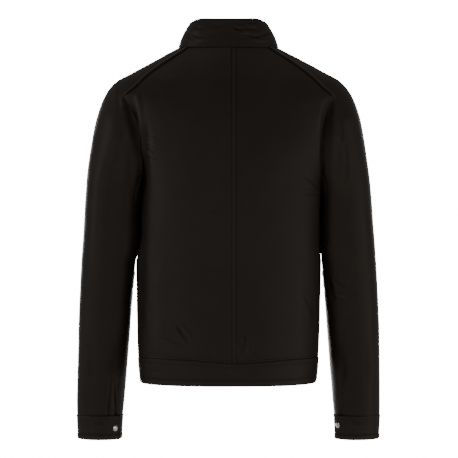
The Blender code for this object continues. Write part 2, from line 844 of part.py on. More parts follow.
def add_slider(collection, metal):
    """The slider body with its bridge, and the pull tab whose pin turns under that bridge."""
    frame = slider_frame()
    plate_low = CHAIN_RISE + SEAM_GAP
    plate_top = plate_low + SLIDER_PLATE
    plate_size = (SLIDER_WIDTH, SLIDER_LENGTH, SLIDER_PLATE)
    plate = add_box(
        "zip_slider",
        plate_size,
        (0, 0, plate_low + SLIDER_PLATE / 2),
        frame,
        collection,
        metal,
    )
    sunk = SLIDER_PLATE / 2
    leg_height = BRIDGE_ROOM + BRIDGE_BAR + sunk
    leg_z = plate_top - sunk + leg_height / 2
    legs = []
    for end in (1, -1):
        place = (0, end * (BRIDGE_SPAN - BRIDGE_BAR) / 2, leg_z)
        size = (BRIDGE_WIDTH, BRIDGE_BAR, leg_height)
        legs.append(add_box(f"bridge_leg_{end}", size, place, frame, collection, metal))
    bar_z = plate_top + BRIDGE_ROOM + BRIDGE_BAR / 2
    bar_size = (BRIDGE_WIDTH, BRIDGE_SPAN, BRIDGE_BAR)
    bar = add_box("bridge_bar", bar_size, (0, 0, bar_z), frame, collection, metal)
    join_to(plate, [*legs, bar])

    axis = frame @ Matrix.Translation((0, 0, plate_top + CLEARANCE + PULL_PIN_RADIUS))
    flat_size = (PULL_WIDTH, PULL_LENGTH, PULL_THICKNESS)
    eye_top = PULL_PIN_RADIUS
    flat_place = (0, eye_top - PULL_LENGTH / 2, 0)
    tab = add_box("zip_pull_tab", flat_size, flat_place, axis, collection, metal)
    eye_size = (PULL_EYE_WIDTH, PULL_EYE_LENGTH, 4 * PULL_THICKNESS)
    eye_place = (0, -PULL_PIN_RADIUS - PULL_EYE_LENGTH / 2, 0)
    eye = add_box("pull_eye", eye_size, eye_place, axis, collection, metal)
    cut = tab.modifiers.new("Eye", "BOOLEAN")
    cut.operation = "DIFFERENCE"
    cut.object = eye
    bpy.context.view_layer.update()
    graph = bpy.context.evaluated_depsgraph_get()
    tab.data = bpy.data.meshes.new_from_object(tab.evaluated_get(graph))
    tab.modifiers.clear()
    bpy.data.objects.remove(eye, do_unlink=True)


def main():
    clear_scene()
    jacket = make_collection("leather_jacket")
    leather = make_material("black leather", (0.012, 0.011, 0.010), 0.48)
    metal = make_material("bright metal", (0.62, 0.61, 0.60), 0.28, 1.0)
    tape = make_material("black zip", (0.010, 0.010, 0.011), 0.60)
    add_back(jacket, leather)
    add_front(jacket, leather)
    add_sleeves(jacket, leather)
    add_bands(jacket, leather)
    add_snaps(jacket, metal)
    add_zip(jacket, tape)
    add_slider(jacket, metal)


if __name__ == "__main__":
    main()
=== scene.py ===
"""Looks of the black leather jacket: shells over its panels, seams, stitches, zip and snaps."""

import json
import math

import bpy
import numpy as np
from bpy.props import FloatProperty, FloatVectorProperty, PointerProperty
from mathutils import Matrix, Vector

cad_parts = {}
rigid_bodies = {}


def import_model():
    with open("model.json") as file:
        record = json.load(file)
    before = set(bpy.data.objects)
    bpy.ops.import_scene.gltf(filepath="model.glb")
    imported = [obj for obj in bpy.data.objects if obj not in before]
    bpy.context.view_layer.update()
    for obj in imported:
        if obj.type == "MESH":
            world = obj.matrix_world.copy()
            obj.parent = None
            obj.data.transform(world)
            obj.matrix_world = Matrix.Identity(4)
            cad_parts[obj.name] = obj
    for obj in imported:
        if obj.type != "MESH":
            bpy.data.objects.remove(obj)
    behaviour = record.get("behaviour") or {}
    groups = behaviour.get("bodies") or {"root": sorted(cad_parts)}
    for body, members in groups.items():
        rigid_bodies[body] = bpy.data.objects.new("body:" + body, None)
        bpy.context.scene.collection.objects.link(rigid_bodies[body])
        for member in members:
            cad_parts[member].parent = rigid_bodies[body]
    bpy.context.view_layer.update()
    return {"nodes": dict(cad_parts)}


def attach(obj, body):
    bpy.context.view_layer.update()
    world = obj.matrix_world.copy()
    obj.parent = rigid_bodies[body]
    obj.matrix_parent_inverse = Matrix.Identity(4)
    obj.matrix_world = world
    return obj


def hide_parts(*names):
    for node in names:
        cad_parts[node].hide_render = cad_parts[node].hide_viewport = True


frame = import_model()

bl_info = {
    "name": "Leather Jacket",
    "version": (1, 0, 0),
    "blender": (4, 5, 0),
    "location": "3D View > Sidebar > Jacket",
    "description": "Builds a black leather jacket with its seams, stitches, zip and snaps",
    "category": "Object",
}

NODES = frame["nodes"]
SIDES = ((1, "left"), (-1, "right"))

# ------------------------------------------------------------------ the pattern's own measures
LEATHER = 0.0018
BAND = 0.0030
CUFF_BAND = 0.0026
BAND_RISE = BAND - LEATHER
CUFF_RISE = CUFF_BAND - LEATHER
# Sewn pieces run a little under each other, so that no light comes through a seam.
SEAM_GAP = -0.0003
HALF_GAP = SEAM_GAP / 2
BAND_GAP = -0.0004
NECK_GAP = -0.0006
LAP_GAP = 0.0003

HEM_Z = -0.632
WAIST_SEAM_Z = -0.587
UNDERARM_Z = -0.262
SHOULDER_CORNER_Z = -0.0985
CUFF_SEAM_Z = -0.700
CUFF_END_Z = -0.746
CENTRE_BACK_X = -0.0065

NECK_HALF_WIDTH = 0.0945
NECK_BACK = 0.070
NECK_FRONT = 0.078
NECK_BACK_Z = -0.006
NECK_SIDE_Z = -0.001
NECK_FRONT_Z = -0.064
NECK_FRONT_FALL = 1.6
SADDLE_ANGLE = {1: 36.0, -1: 38.0}
NECK_BEND_Z = -0.150

COLLAR_HALF_WIDTH = 0.0715
COLLAR_BACK = 0.058
COLLAR_FRONT = 0.069
COLLAR_BACK_Z = 0.0495
COLLAR_SIDE_Z = 0.0475
COLLAR_FRONT_Z = -0.018
COLLAR_BULGE = 0.0030
COLLAR_CORNER_RISE = 0.0028
COLLAR_CORNER_ANGLE = 47.0
COLLAR_CORNER_WIDTH = 20.0
COLLAR_HEIGHT = 0.055

UNDER_SLEEVE_ANGLE = 138.0
SLEEVE_FORM_Z = -0.150
SLEEVE_SQUARE = 2.28
CUFF_SQUARE = 2.0
SLEEVE_FULLER = 1.1
SADDLE_LENGTH = 0.14
CORNER_TURN = 0.004
HUB_DROP = 0.10
# How far below the armhole the seam between the two sleeves reaches its even line.
UNDER_FADE = 0.06
SQUARE_FADE = (-0.690, -0.600)
# A span has four heights: where a shape begins, where it is full, where it still is, and its end.
FULLER_SPAN = (-0.620, -0.520, -0.230, -0.170)

FRONT_EDGE_X = 0.005
TAPE_HALF_WIDTH = 0.012
TAPE_THICKNESS = 0.0009
TAPE_GAP = 0.0005
TAPE_CURVE = 0.0008

SNAP_RADIUS = 0.006
SNAP_HEIGHT = 0.0024
CUFF_LAP_ANGLE = 42.0
CUFF_TUCK_ANGLE = 55.0
# Columns: a snap's height and angle round its cuff, and where the lapped end stops. Left, right.
CUFFS = (
    (-0.7235, 132.0, 152.0),
    (-0.7185, 144.2, 164.0),
)
TOOTH = (0.0016, 0.0009, 0.00050)
TOOTH_PITCH = 0.0018
TOOTH_OFFSET = 0.0011
TOOTH_RISE = 0.0010
ZIP_STEP = 0.003
ZIP_SMOOTHING = 6
TAPE_POINTS = 9
TAPE_SHARP = 50
# A stitch's thickness and length, as shares of the thread's and of the pitch.
STITCH_PLUMP = 1.15
STITCH_SHARE = 0.40

# How far from an edge each row of stitches runs.
SADDLE_STITCHES = 0.0068
CENTRE_STITCHES = 0.0055
FRONT_STITCHES = 0.0075
WAIST_STITCHES = 0.0072
BAND_TOP_STITCHES = 0.0088
HEM_STITCHES = 0.0114
COLLAR_TOP_STITCHES = 0.0045
COLLAR_STITCHES = 0.0050
CUFF_TOP_STITCHES = 0.0130
CUFF_STITCHES = 0.0085
CUFF_END_STITCHES = 0.0040

# ------------------------------------------------------------------ how fine the shells are
FINE_STEP = 0.0026
COLLAR_STEP = 0.0022
EDGE_STEPS = (0.0, 0.0005, 0.0012, 0.0020, 0.0030, 0.0042, 0.0058)
DENSE = 160
# How much of a row moves with its end, when the end is set right.
PINNED_SHARE = 0.4


class Table:
    """Rows of numbers with named columns, read at any heights by smooth steps without overshoot."""

    def __init__(self, columns, rows):
        self.columns = columns
        self.rows = np.array(sorted(rows))
        self.key = self.rows[:, 0]
        slopes = np.diff(self.rows, axis=0) / np.diff(self.key)[:, None]
        before = slopes[:-1]
        after = slopes[1:]
        same = before * after > 0
        total = np.where(same, before + after, 1.0)
        middle = np.where(same, 2 * before * after / total, 0.0)
        self.tangents = np.vstack((slopes[:1], middle, slopes[-1:]))

    def at(self, z):
        z = np.clip(z, self.key[0], self.key[-1])
        index = np.clip(np.searchsorted(self.key, z, side="right") - 1, 0, len(self.key) - 2)
        width = (self.key[index + 1] - self.key[index])[..., None]
        t = (z - self.key[index])[..., None] / width
        values = (
            self.rows[index] * (1 + 2 * t) * (1 - t) ** 2
            + self.tangents[index] * width * t * (1 - t) ** 2
            + self.rows[index + 1] * t * t * (3 - 2 * t)
            + self.tangents[index + 1] * width * t * t * (t - 1)
        )
        return dict(zip(self.columns, np.moveaxis(values, -1, 0)))


BODY = Table(
    ("z", "half_width", "back", "front", "square"),
    (
        (-0.632, 0.1665, 0.1215, 0.1235, 2.45),
        (-0.610, 0.1690, 0.1235, 0.1255, 2.45),
        (-0.587, 0.1708, 0.1250, 0.1270, 2.45),
        (-0.560, 0.1722, 0.1262, 0.1285, 2.45),
        (-0.500, 0.1738, 0.1250, 0.1295, 2.45),
        (-0.411, 0.1755, 0.1265, 0.1335, 2.50),
        (-0.330, 0.1762, 0.1310, 0.1370, 2.50),
        (-0.262, 0.1766, 0.1330, 0.1350, 2.50),
        (-0.250, 0.1788, 0.1330, 0.1340, 2.50),
        (-0.230, 0.1835, 0.1325, 0.1315, 2.48),
        (-0.208, 0.1895, 0.1320, 0.1270, 2.45),
        (-0.153, 0.2055, 0.1260, 0.1140, 2.35),
        (-0.120, 0.2220, 0.1190, 0.1030, 2.30),
        (-0.096, 0.2363, 0.1120, 0.0930, 2.20),
        (-0.0846, 0.2299, 0.1080, 0.0880, 2.15),
        (-0.0675, 0.2154, 0.1020, 0.0800, 2.10),
        (-0.056, 0.1975, 0.0970, 0.0750, 2.05),
        (-0.0333, 0.1550, 0.0860, 0.0650, 2.00),
        (-0.022, 0.1340, 0.0800, 0.0600, 1.95),
        (-0.0105, 0.1126, 0.0735, 0.0540, 1.88),
        (-0.001, 0.0945, 0.0680, 0.0480, 1.80),
    ),
)

SHOULDER = Table(
    ("z", "half_width"),
    (
        (-0.168, 0.2579),
        (-0.138, 0.2509),
        (-0.119, 0.2454),
        (-0.107, 0.2413),
        (-0.096, 0.2363),
        (-0.0846, 0.2299),
        (-0.0732, 0.2213),
        (-0.0675, 0.2154),
        (-0.0618, 0.2079),
        (-0.056, 0.1975),
        (-0.0447, 0.1760),
        (-0.0333, 0.1550),
        (-0.022, 0.1340),
        (-0.0105, 0.1126),
        (-0.001, 0.0945),
    ),
)

SLEEVE = Table(
    ("z", "centre_x", "half_width", "centre_y", "half_depth"),
    (
        (-0.746, 0.2468, 0.0416, -0.038, 0.0400),
        (-0.700, 0.2464, 0.0442, -0.035, 0.0440),
        (-0.670, 0.2452, 0.0460, -0.033, 0.0475),
        (-0.624, 0.2426, 0.0475, -0.029, 0.0515),
        (-0.579, 0.2400, 0.0488, -0.025, 0.0545),
        (-0.533, 0.2374, 0.0498, -0.021, 0.0575),
        (-0.487, 0.2345, 0.0504, -0.017, 0.0605),
        (-0.411, 0.2292, 0.0514, -0.011, 0.0655),
        (-0.350, 0.2270, 0.0496, -0.008, 0.0680),
        (-0.285, 0.2250, 0.0474, -0.005, 0.0700),
        (-0.262, 0.2238, 0.0466, -0.004, 0.0710),
        (-0.208, 0.2115, 0.0520, -0.002, 0.0730),
        (-0.153, 0.2000, 0.0545, -0.001, 0.0750),
        (-0.125, 0.1925, 0.0550, 0.000, 0.0770),
        (-0.096, 0.1820, 0.0543, 0.000, 0.0790),
    ),
)

ARMHOLE = {
    1: Table(
        ("z", "x"),
        (
            (-0.262, 0.1766),
            (-0.250, 0.1735),
            (-0.230, 0.1700),
            (-0.208, 0.1682),
            (-0.180, 0.1682),
            (-0.156, 0.1712),
            (-0.127, 0.1800),
            (-0.110, 0.1870),
            (-0.0985, 0.1945),
            (-0.0820, 0.1760),
            (-0.0610, 0.1543),
            (-0.0385, 0.1260),
            (-0.0043, 0.0765),
        ),
    ),
    -1: Table(
        ("z", "x"),
        (
            (-0.262, 0.1766),
            (-0.250, 0.1760),
            (-0.208, 0.1710),
            (-0.180, 0.1695),
            (-0.156, 0.1710),
            (-0.127, 0.1765),
            (-0.110, 0.1820),
            (-0.0985, 0.1870),
            (-0.0820, 0.1690),
            (-0.0660, 0.1450),
            (-0.0500, 0.1120),
            (-0.0300, 0.0745),
        ),
    ),
}


# ------------------------------------------------------------------ the jacket's form
def power(value, exponent):
    return np.copysign(np.abs(value) ** exponent, value)


def smooth_step(value, low, high):
    t = np.clip((value - low) / (high - low), 0.0, 1.0)
    return t * t * (3 - 2 * t)


def between(value, low, full, still, end):
    """1 from full to still, falling softly to 0 at low and at end."""
    return smooth_step(value, low, full) * (1 - smooth_step(value, still, end))


def bell(value, centre, width):
    """1 at the centre, and about a third at width from it."""
    return np.exp(-(((value - centre) / width) ** 2))


def unit(vectors):
    return vectors / np.linalg.norm(vectors, axis=-1, keepdims=True)


def xyz(x, y, z):
    return np.stack(np.broadcast_arrays(x, y, z), axis=-1).astype(float)


def body_point(z, angle, half_width=None):
    ring = BODY.at(z)
    width = ring["half_width"] if half_width is None else half_width
    turn = np.radians(angle)
    depth = np.where(np.sin(turn) >= 0, ring["back"], ring["front"])
    exponent = 2 / ring["square"]
    return xyz(width * power(np.cos(turn), exponent), depth * power(np.sin(turn), exponent), z)


def body_angle(x, z, half_width=None):
    ring = BODY.at(z)
    width = ring["half_width"] if half_width is None else half_width
    return np.degrees(np.arccos(power(np.clip(x / width, -1.0, 1.0), ring["square"] / 2)))


def shoulder_point(z, angle):
    return body_point(z, angle, SHOULDER.at(z)["half_width"])


def shoulder_angle(x, z):
    return body_angle(x, z, SHOULDER.at(z)["half_width"])


def sleeve_square(z, across, behind):
    """How boxy the sleeve's section is: round at the cuff, and fullest behind, towards the body."""
    square = CUFF_SQUARE + (SLEEVE_SQUARE - CUFF_SQUARE) * smooth_step(z, *SQUARE_FADE)
    return square + SLEEVE_FULLER * between(z, *FULLER_SPAN) * ((across < 0) & (behind > 0))


def sleeve_point(z, angle):
    ring = SLEEVE.at(z)
    across, behind = np.cos(np.radians(angle)), np.sin(np.radians(angle))
    exponent = 2 / sleeve_square(z, across, behind)
    x = ring["centre_x"] + ring["half_width"] * power(across, exponent)
    return xyz(x, ring["centre_y"] + ring["half_depth"] * power(behind, exponent), z)


def sleeve_angle(point):
    ring = SLEEVE.at(point[2])
    across = (point[0] - ring["centre_x"]) / ring["half_width"]
    behind = (point[1] - ring["centre_y"]) / ring["half_depth"]
    exponent = sleeve_square(point[2], across, behind) / 2
    return math.degrees(math.atan2(power(behind, exponent), power(across, exponent))) % 360


def oval_point(angle, half_width, back, front, heights):
    """A point of an oval that is level behind and falls at the front: 90 is the centre back."""
    back_z, side_z, front_z = heights
    sine = np.sin(np.radians(angle))
    behind = sine >= 0
    fall = np.where(behind, sine, np.abs(sine) ** NECK_FRONT_FALL)
    y = np.where(behind, back, front) * sine
    z = side_z + np.where(behind, back_z - side_z, front_z - side_z) * fall
    return xyz(half_width * np.cos(np.radians(angle)), y, z)


def neck_point(angle):
    heights = (NECK_BACK_Z, NECK_SIDE_Z, NECK_FRONT_Z)
    return oval_point(angle, NECK_HALF_WIDTH, NECK_BACK, NECK_FRONT, heights)


def collar_top(angle):
    heights = (COLLAR_BACK_Z, COLLAR_SIDE_Z, COLLAR_FRONT_Z)
    point = oval_point(angle, COLLAR_HALF_WIDTH, COLLAR_BACK, COLLAR_FRONT, heights)
    corner = bell(np.abs(angle - 90), COLLAR_CORNER_ANGLE, COLLAR_CORNER_WIDTH)
    point[..., 2] += COLLAR_CORNER_RISE * corner
    return point


def collar_point(angle, share):
    point = neck_point(angle) * (1 - share) + collar_top(angle) * share
    out = unit(point * np.array((1.0, 1.0, 0.0)))
    return point + out * (BAND_RISE + COLLAR_BULGE * math.sin(math.pi * share))


def neck_corner(face):
    return neck_point(face * SADDLE_ANGLE[face])


def neck_lift(z, face):
    return max((z - NECK_BEND_Z) / (neck_corner(face)[2] - NECK_BEND_Z), 0.0)


def neck_miss(neck):
    """How far the neckline lies from the body's own surface."""
    angle = np.copysign(body_angle(neck[..., 0], neck[..., 2]), neck[..., 1])
    return neck - body_point(neck[..., 2], angle)


def armhole_point(z, face):
    x = ARMHOLE[face].at(z)["x"]
    point = body_point(z, face * body_angle(x, z))
    return point + neck_miss(neck_corner(face)) * neck_lift(z, face) ** 3


def sleeve_edge_point(z, face):
    step = 0.001
    here = armhole_point(z, face)
    outward = 1 - smooth_step(z, SHOULDER_CORNER_Z - step, SHOULDER_CORNER_Z + CORNER_TURN)
    along = armhole_point(z + step, face) - armhole_point(z - step, face)
    normal = unit(here - np.array((0.0, 0.0, z - HUB_DROP)))
    across = unit(np.cross(along, normal))
    across = across * math.copysign(1, across[0] + across[2])
    shift = unit(across * (1 - outward) + np.array((1.0, 0.0, 0.0)) * outward)
    return here + shift * (SEAM_GAP + HALF_GAP)


# ------------------------------------------------------------------ rows of points
def edge_spaced(length, step, count=None):
    """Places from 0 to length, close together near both ends and even between."""
    near = EDGE_STEPS[-1]
    inner = count or max(int(round((length - 2 * near) / step)), 2)
    middle = np.linspace(near, length - near, inner + 1)
    ends = np.array(EDGE_STEPS[:-1])
    return np.concatenate((ends, middle, length - ends[::-1]))


def lengths_along(points):
    steps = np.linalg.norm(np.diff(points, axis=0), axis=1)
    return np.concatenate(((0.0,), np.cumsum(steps)))


def read_at(places, keys, points):
    """The points' coordinates at the places, where keys says each point's own place."""
    return np.stack([np.interp(places, keys, points[:, axis]) for axis in range(3)], axis=-1)


def placed_row(points, count, trims=(0.0, 0.0)):
    """The same line with its ends trimmed, cut into count faces and close ones at both ends."""
    along = lengths_along(points)
    places = trims[0] + edge_spaced(along[-1] - trims[0] - trims[1], FINE_STEP, count)
    return read_at(places, along, points)


def pin_ends(points, shares, misses):
    """Moves both ends of a row by what they miss, and less and less of it towards the middle."""
    for share, miss in ((shares, misses[0]), (1 - shares, misses[1])):
        points = points + np.maximum(1 - share / PINNED_SHARE, 0.0)[:, None] ** 2 * miss
    return points


def panel_row(end_z, face, start_x, count):
    """A row of a back or front panel, from the centre to the side seam or to the sleeve."""
    lift = neck_lift(end_z, face)
    on_side = end_z <= UNDERARM_Z
    start = body_angle(start_x, end_z)
    end = 0.0 if on_side else body_angle(ARMHOLE[face].at(end_z)["x"], end_z)
    neck_start = math.degrees(math.acos(start_x / NECK_HALF_WIDTH))
    shares = np.linspace(0, 1, DENSE)
    neck = neck_point(face * (neck_start + (SADDLE_ANGLE[face] - neck_start) * shares))
    z = NECK_BEND_Z + (neck[:, 2] - NECK_BEND_Z) * lift if lift else np.full(DENSE, end_z)
    blend = lift ** 2
    angles = (start + (end - start) * shares) * (1 - blend)
    angles = angles + body_angle(neck[:, 0], neck[:, 2]) * blend
    line = body_point(z, face * angles) + neck_miss(neck) * lift ** 3
    start_miss = np.array((start_x - line[0, 0], 0.0, 0.0))
    end_miss = np.zeros(3) if on_side else armhole_point(end_z, face) - line[-1]
    line = pin_ends(line, shares, (start_miss, end_miss))
    row = placed_row(line, count, (0.0, HALF_GAP if on_side else 0.0))
    row[:, 2] -= NECK_GAP * smooth_step(lift, 0.9, 1.0)
    return row


def panel_rows(face, start_x, count=84):
    low = WAIST_SEAM_Z + BAND_GAP
    top = neck_corner(face)[2]
    levels = low + edge_spaced(top - low, FINE_STEP)
    return np.array([panel_row(z, face, start_x, count) for z in levels])


def sleeve_blend(z, shares, ends):
    """A level of the sleeve's form, from the seam behind, round the outer side, to the other."""
    on_sleeve = 1 - smooth_step(z, SLEEVE_FORM_Z, SHOULDER_CORNER_Z)
    around = [sleeve_angle(end) for end in ends]
    around[1] -= 360 if around[1] > 0 else 0
    over = [shoulder_angle(ends[0][0], z), -shoulder_angle(ends[1][0], z)]
    behind = shares < 0.5
    reach = np.abs(2 * shares - 1)
    levels = np.full(len(shares), z)
    arm = sleeve_point(levels, np.where(behind, around[0], around[1]) * reach)
    yoke = shoulder_point(levels, np.where(behind, over[0], over[1]) * reach)
    return arm * on_sleeve + yoke * (1 - on_sleeve)


SPLIT_Z = {}


def split_level(face):
    """Where the seam between the top sleeve and the under sleeve leaves the armhole."""
    if face not in SPLIT_Z:
        for z in np.arange(SLEEVE_FORM_Z, UNDERARM_Z, -0.0005):
            angle = sleeve_angle(sleeve_edge_point(z, face))
            if abs(angle if face > 0 else angle - 360) >= UNDER_SLEEVE_ANGLE:
                break
        SPLIT_Z[face] = z
    return SPLIT_Z[face]


def seam_ends(z):
    """Where the top sleeve's two edges lie at one height, behind and in front."""
    ends = []
    for face in (1, -1):
        split = split_level(face)
        if z >= split:
            ends.append(sleeve_edge_point(z, face))
            continue
        corner = sleeve_edge_point(split, face)
        miss = corner - sleeve_point(split, sleeve_angle(corner))
        fade = 1 - smooth_step(split - z, 0.0, UNDER_FADE)
        ends.append(sleeve_point(z, face * UNDER_SLEEVE_ANGLE) + miss * fade)
    return ends


def top_sleeve_row(z, count):
    shares = np.linspace(0, 1, DENSE)
    ends = seam_ends(z)
    points = sleeve_blend(z, shares, ends)
    points = pin_ends(points, shares, (ends[0] - points[0], ends[1] - points[-1]))
    trims = [HALF_GAP if z < split_level(face) else 0.0 for face in (1, -1)]
    return placed_row(points, count, trims)


def saddle_row(lift, count):
    """A row between the shoulder's corner, where lift is 0, and the neckline, where it is 1."""
    shares = np.linspace(0, 1, DENSE)
    necks = neck_point(SADDLE_ANGLE[1] - (SADDLE_ANGLE[1] + SADDLE_ANGLE[-1]) * shares)
    levels = SHOULDER_CORNER_Z + (necks[:, 2] - SHOULDER_CORNER_Z) * lift
    ends = (sleeve_edge_point(levels[0], 1), sleeve_edge_point(levels[-1], -1))
    over = (shoulder_angle(ends[0][0], levels[0]), -shoulder_angle(ends[1][0], levels[-1]))
    level_angle = np.where(shares < 0.5, over[0], over[1]) * np.abs(2 * shares - 1)
    neck_angle = np.copysign(shoulder_angle(necks[:, 0], necks[:, 2]), necks[:, 1])
    blend = lift ** 2
    points = shoulder_point(levels, level_angle * (1 - blend) + neck_angle * blend)
    points = points + (necks - shoulder_point(necks[:, 2], neck_angle)) * lift ** 3
    points = pin_ends(points, shares, (ends[0] - points[0], ends[1] - points[-1]))
    points[:, 2] -= NECK_GAP * smooth_step(lift, 0.9, 1.0)
    return placed_row(points, count)


def top_sleeve_rows(count=92):
    low = CUFF_SEAM_Z + BAND_GAP
    near = np.array(EDGE_STEPS[:-1])
    lower = np.arange(low + EDGE_STEPS[-1], SHOULDER_CORNER_Z - FINE_STEP / 2, FINE_STEP)
    rows = [top_sleeve_row(z, count) for z in (*(low + near), *lower, SHOULDER_CORNER_Z)]
    lifts = edge_spaced(SADDLE_LENGTH, FINE_STEP)[len(EDGE_STEPS) :] / SADDLE_LENGTH
    rows += [saddle_row(lift, count) for lift in lifts]
    return np.array(rows)


def armhole_bottom():
    """The armhole below the top sleeve, from behind to the front: its angles and its points."""
    points = []
    for face in (1, -1):
        levels = np.linspace(split_level(face), UNDERARM_Z, 30)
        part = [sleeve_edge_point(z, face) for z in levels]
        points += part if face > 0 else part[::-1][1:]
    return np.array([sleeve_angle(point) for point in points]), np.array(points)


def under_sleeve_rows(count=28):
    angles, seam = armhole_bottom()
    around = UNDER_SLEEVE_ANGLE + (360 - 2 * UNDER_SLEEVE_ANGLE) * np.linspace(0, 1, DENSE)
    order = np.argsort(angles)
    top = read_at(around, angles[order], seam[order])
    low = CUFF_SEAM_Z + BAND_GAP
    length = UNDERARM_Z - low
    miss = top - sleeve_point(top[:, 2], around)
    rows = []
    for share in edge_spaced(length, FINE_STEP) / length:
        z = low + length * share + (top[:, 2] - UNDERARM_Z) * share ** 6
        fade = smooth_step(z, top[:, 2] - UNDER_FADE, top[:, 2])
        row = sleeve_point(z, around) + miss * fade[:, None]
        rows.append(placed_row(row, count, (SEAM_GAP, SEAM_GAP)))
    return np.array(rows)


def raised(points, centre, rise):
    out = (points - np.array((centre[0], centre[1], 0.0))) * np.array((1.0, 1.0, 0.0))
    return points + unit(out) * np.asarray(rise)[..., None]


def clear_of_zip(row):
    """Keeps a row that goes round to the front from passing the front edge."""
    x = row[:, 0]
    beside = np.copysign(np.maximum(np.abs(x), FRONT_EDGE_X), x)
    row[:, 0] = np.where(row[:, 1] < 0, beside, x)
    return row


def waistband_rows(count=400):
    rows = []
    length = WAIST_SEAM_Z - HALF_GAP - HEM_Z
    for z in HEM_Z + edge_spaced(length, FINE_STEP):
        edge = body_angle(FRONT_EDGE_X, z)
        angles = -edge + (180 + 2 * edge) * np.linspace(0, 1, 8 * DENSE)
        line = raised(body_point(np.full(len(angles), z), angles), (0, 0), BAND_RISE)
        rows.append(clear_of_zip(placed_row(line, count)))
    return np.array(rows)


def collar_rows(count=190):
    edge = math.degrees(math.acos(FRONT_EDGE_X / NECK_HALF_WIDTH))
    angles = np.linspace(-edge, 180 + edge, 8 * DENSE)
    shares = edge_spaced(COLLAR_HEIGHT, COLLAR_STEP) / COLLAR_HEIGHT
    rows = [clear_of_zip(placed_row(collar_point(angles, share), count)) for share in shares]
    return np.array(rows)


def cuff_lift(turned):
    """How far out of the sleeve's form the cuff lies: further where it laps over itself."""
    lapped = CUFF_BAND + 2 * LAP_GAP
    return CUFF_RISE + lapped * (1 - smooth_step(turned, CUFF_TUCK_ANGLE, 2 * CUFF_TUCK_ANGLE))


def cuff_point(z, angle, turned):
    ring = SLEEVE.at(z)
    centre = (ring["centre_x"], ring["centre_y"])
    turned = np.asarray(turned)
    point = sleeve_point(np.full(turned.shape, z), angle)
    return raised(point, centre, cuff_lift(turned))


def cuff_rows(end_angle, count=118):
    length = CUFF_SEAM_Z - HALF_GAP - CUFF_END_Z
    levels = CUFF_END_Z + edge_spaced(length, FINE_STEP)
    turns = np.linspace(0, 360 + CUFF_LAP_ANGLE, 8 * DENSE)
    return np.array([placed_row(cuff_point(z, end_angle - turns, turns), count) for z in levels])


# ------------------------------------------------------------------ shaping a shell
# Limits of the painted shade (below 0, darker) and the painted highlight (above 0, lighter) in the
# leather's colour.
PAINTED_LIGHT_LIMITS = (-0.8, 2.0)
SHELL_SHARP = 75
# How much of the outer face's ridges the inner face follows.
INNER_SHARE = 0.6
# How far a top edge runs on into the collar.
TUCK = 0.0020

# The deep fold behind each armhole.
DRIFT = 0.0044
LEFT_DRIFT = 0.0056
FOLD_X = 0.172
FOLD_WIDTH = 0.022
FOLD_SPAN = (-0.330, -0.240, -0.150, -0.100)
LEFT_FOLD_SPAN = (-0.394, -0.350, -0.250, -0.190)
FOLD_SIDES = (-0.010, 0.010)
FOLD_BEHIND = (0.005, 0.035)

# The back's waist seam: it rises at the sides, and sags in the middle as the hem does.
SAG_SIDE_RISE = 0.0028
SAG_DEPTH = 0.0068
SAG_X = -0.018
SAG_WIDTH = 0.070
SAG_HEM = -0.0022
SAG_HEIGHT = 0.110
SAG_REACH = 0.050

# How far a hanging sleeve leans into the body's side, and how full its back rolls over it.
LEAN = {1: (0.0085, 0.0050), -1: (0.0026, 0.0040)}
LEAN_SPAN = (-0.408, -0.384, -0.285, -0.248)
LEAN_WIDTH = 0.042
LEAN_INNER = (-0.205, -0.190)
ROLL_SPAN = (-0.420, -0.380, -0.225, -0.185)
ROLL_ANGLE = 138.0
ROLL_WIDTH = 26.0
# What the body gives way below the underarm.
CLEAR_DEPTH = 0.0005
CLEAR_SPAN = (-0.304, -0.288, -0.272, -0.262)
CLEAR_Y = 0.018
CLEAR_WIDTH = 0.024

# The armhole's seam: how its two sides share one direction to dip in, and how deep they dip.
JOIN_FALL = 0.8
JOIN_REACH = 0.080
JOIN_ASIDE = 0.25
JOIN_BEHIND = 0.070
JOIN_WIDTH = 0.0040
JOIN_SPAN = (
    UNDERARM_Z - 0.006,
    UNDERARM_Z - 0.001,
    SHOULDER_CORNER_Z - 0.016,
    SHOULDER_CORNER_Z + 0.004,
)
ARMHOLE_DIP = 0.0010
ARMHOLE_DIP_WIDTH = 0.0034
ARMHOLE_FADE = 0.02
# Where the leather rolls over the armhole's seam, near the shoulder's corner.
ROLLED_SPAN = (
    SHOULDER_CORNER_Z - 0.105,
    SHOULDER_CORNER_Z - 0.055,
    SHOULDER_CORNER_Z,
    SHOULDER_CORNER_Z + 0.010,
)
ROLLED_SHARE = 0.8
SADDLE_FADE = (SHOULDER_CORNER_Z - 0.004, SHOULDER_CORNER_Z + 0.014)
SADDLE_RISE = 0.0026
SADDLE_LAP = 0.0084
# How strong the painted highlight on the saddle ridge's crest is.
SADDLE_CREST_HIGHLIGHT = 1.5
# The turned-in leather under the saddle's edge.
FILL_DEPTH = 0.0021
FILL_WIDTH = 0.0014
# The cuff's top edge, drawn in where its lap ends.
PINCH_DEPTH = 0.0015
PINCH_SPAN = (0.031, 0.037, 0.058, 0.078)
PINCH_HEIGHT = 0.0045


def armhole_drift(points):
    """How far the deep fold behind each armhole lies to the wearer's right of its even place."""
    x, y, z = np.abs(points[..., 0]), points[..., 1], points[..., 2]
    low = between(z, *LEFT_FOLD_SPAN) * smooth_step(points[..., 0], *FOLD_SIDES)
    drift = DRIFT * between(z, *FOLD_SPAN) + LEFT_DRIFT * low
    return drift * bell(x, FOLD_X, FOLD_WIDTH) * smooth_step(y, *FOLD_BEHIND)


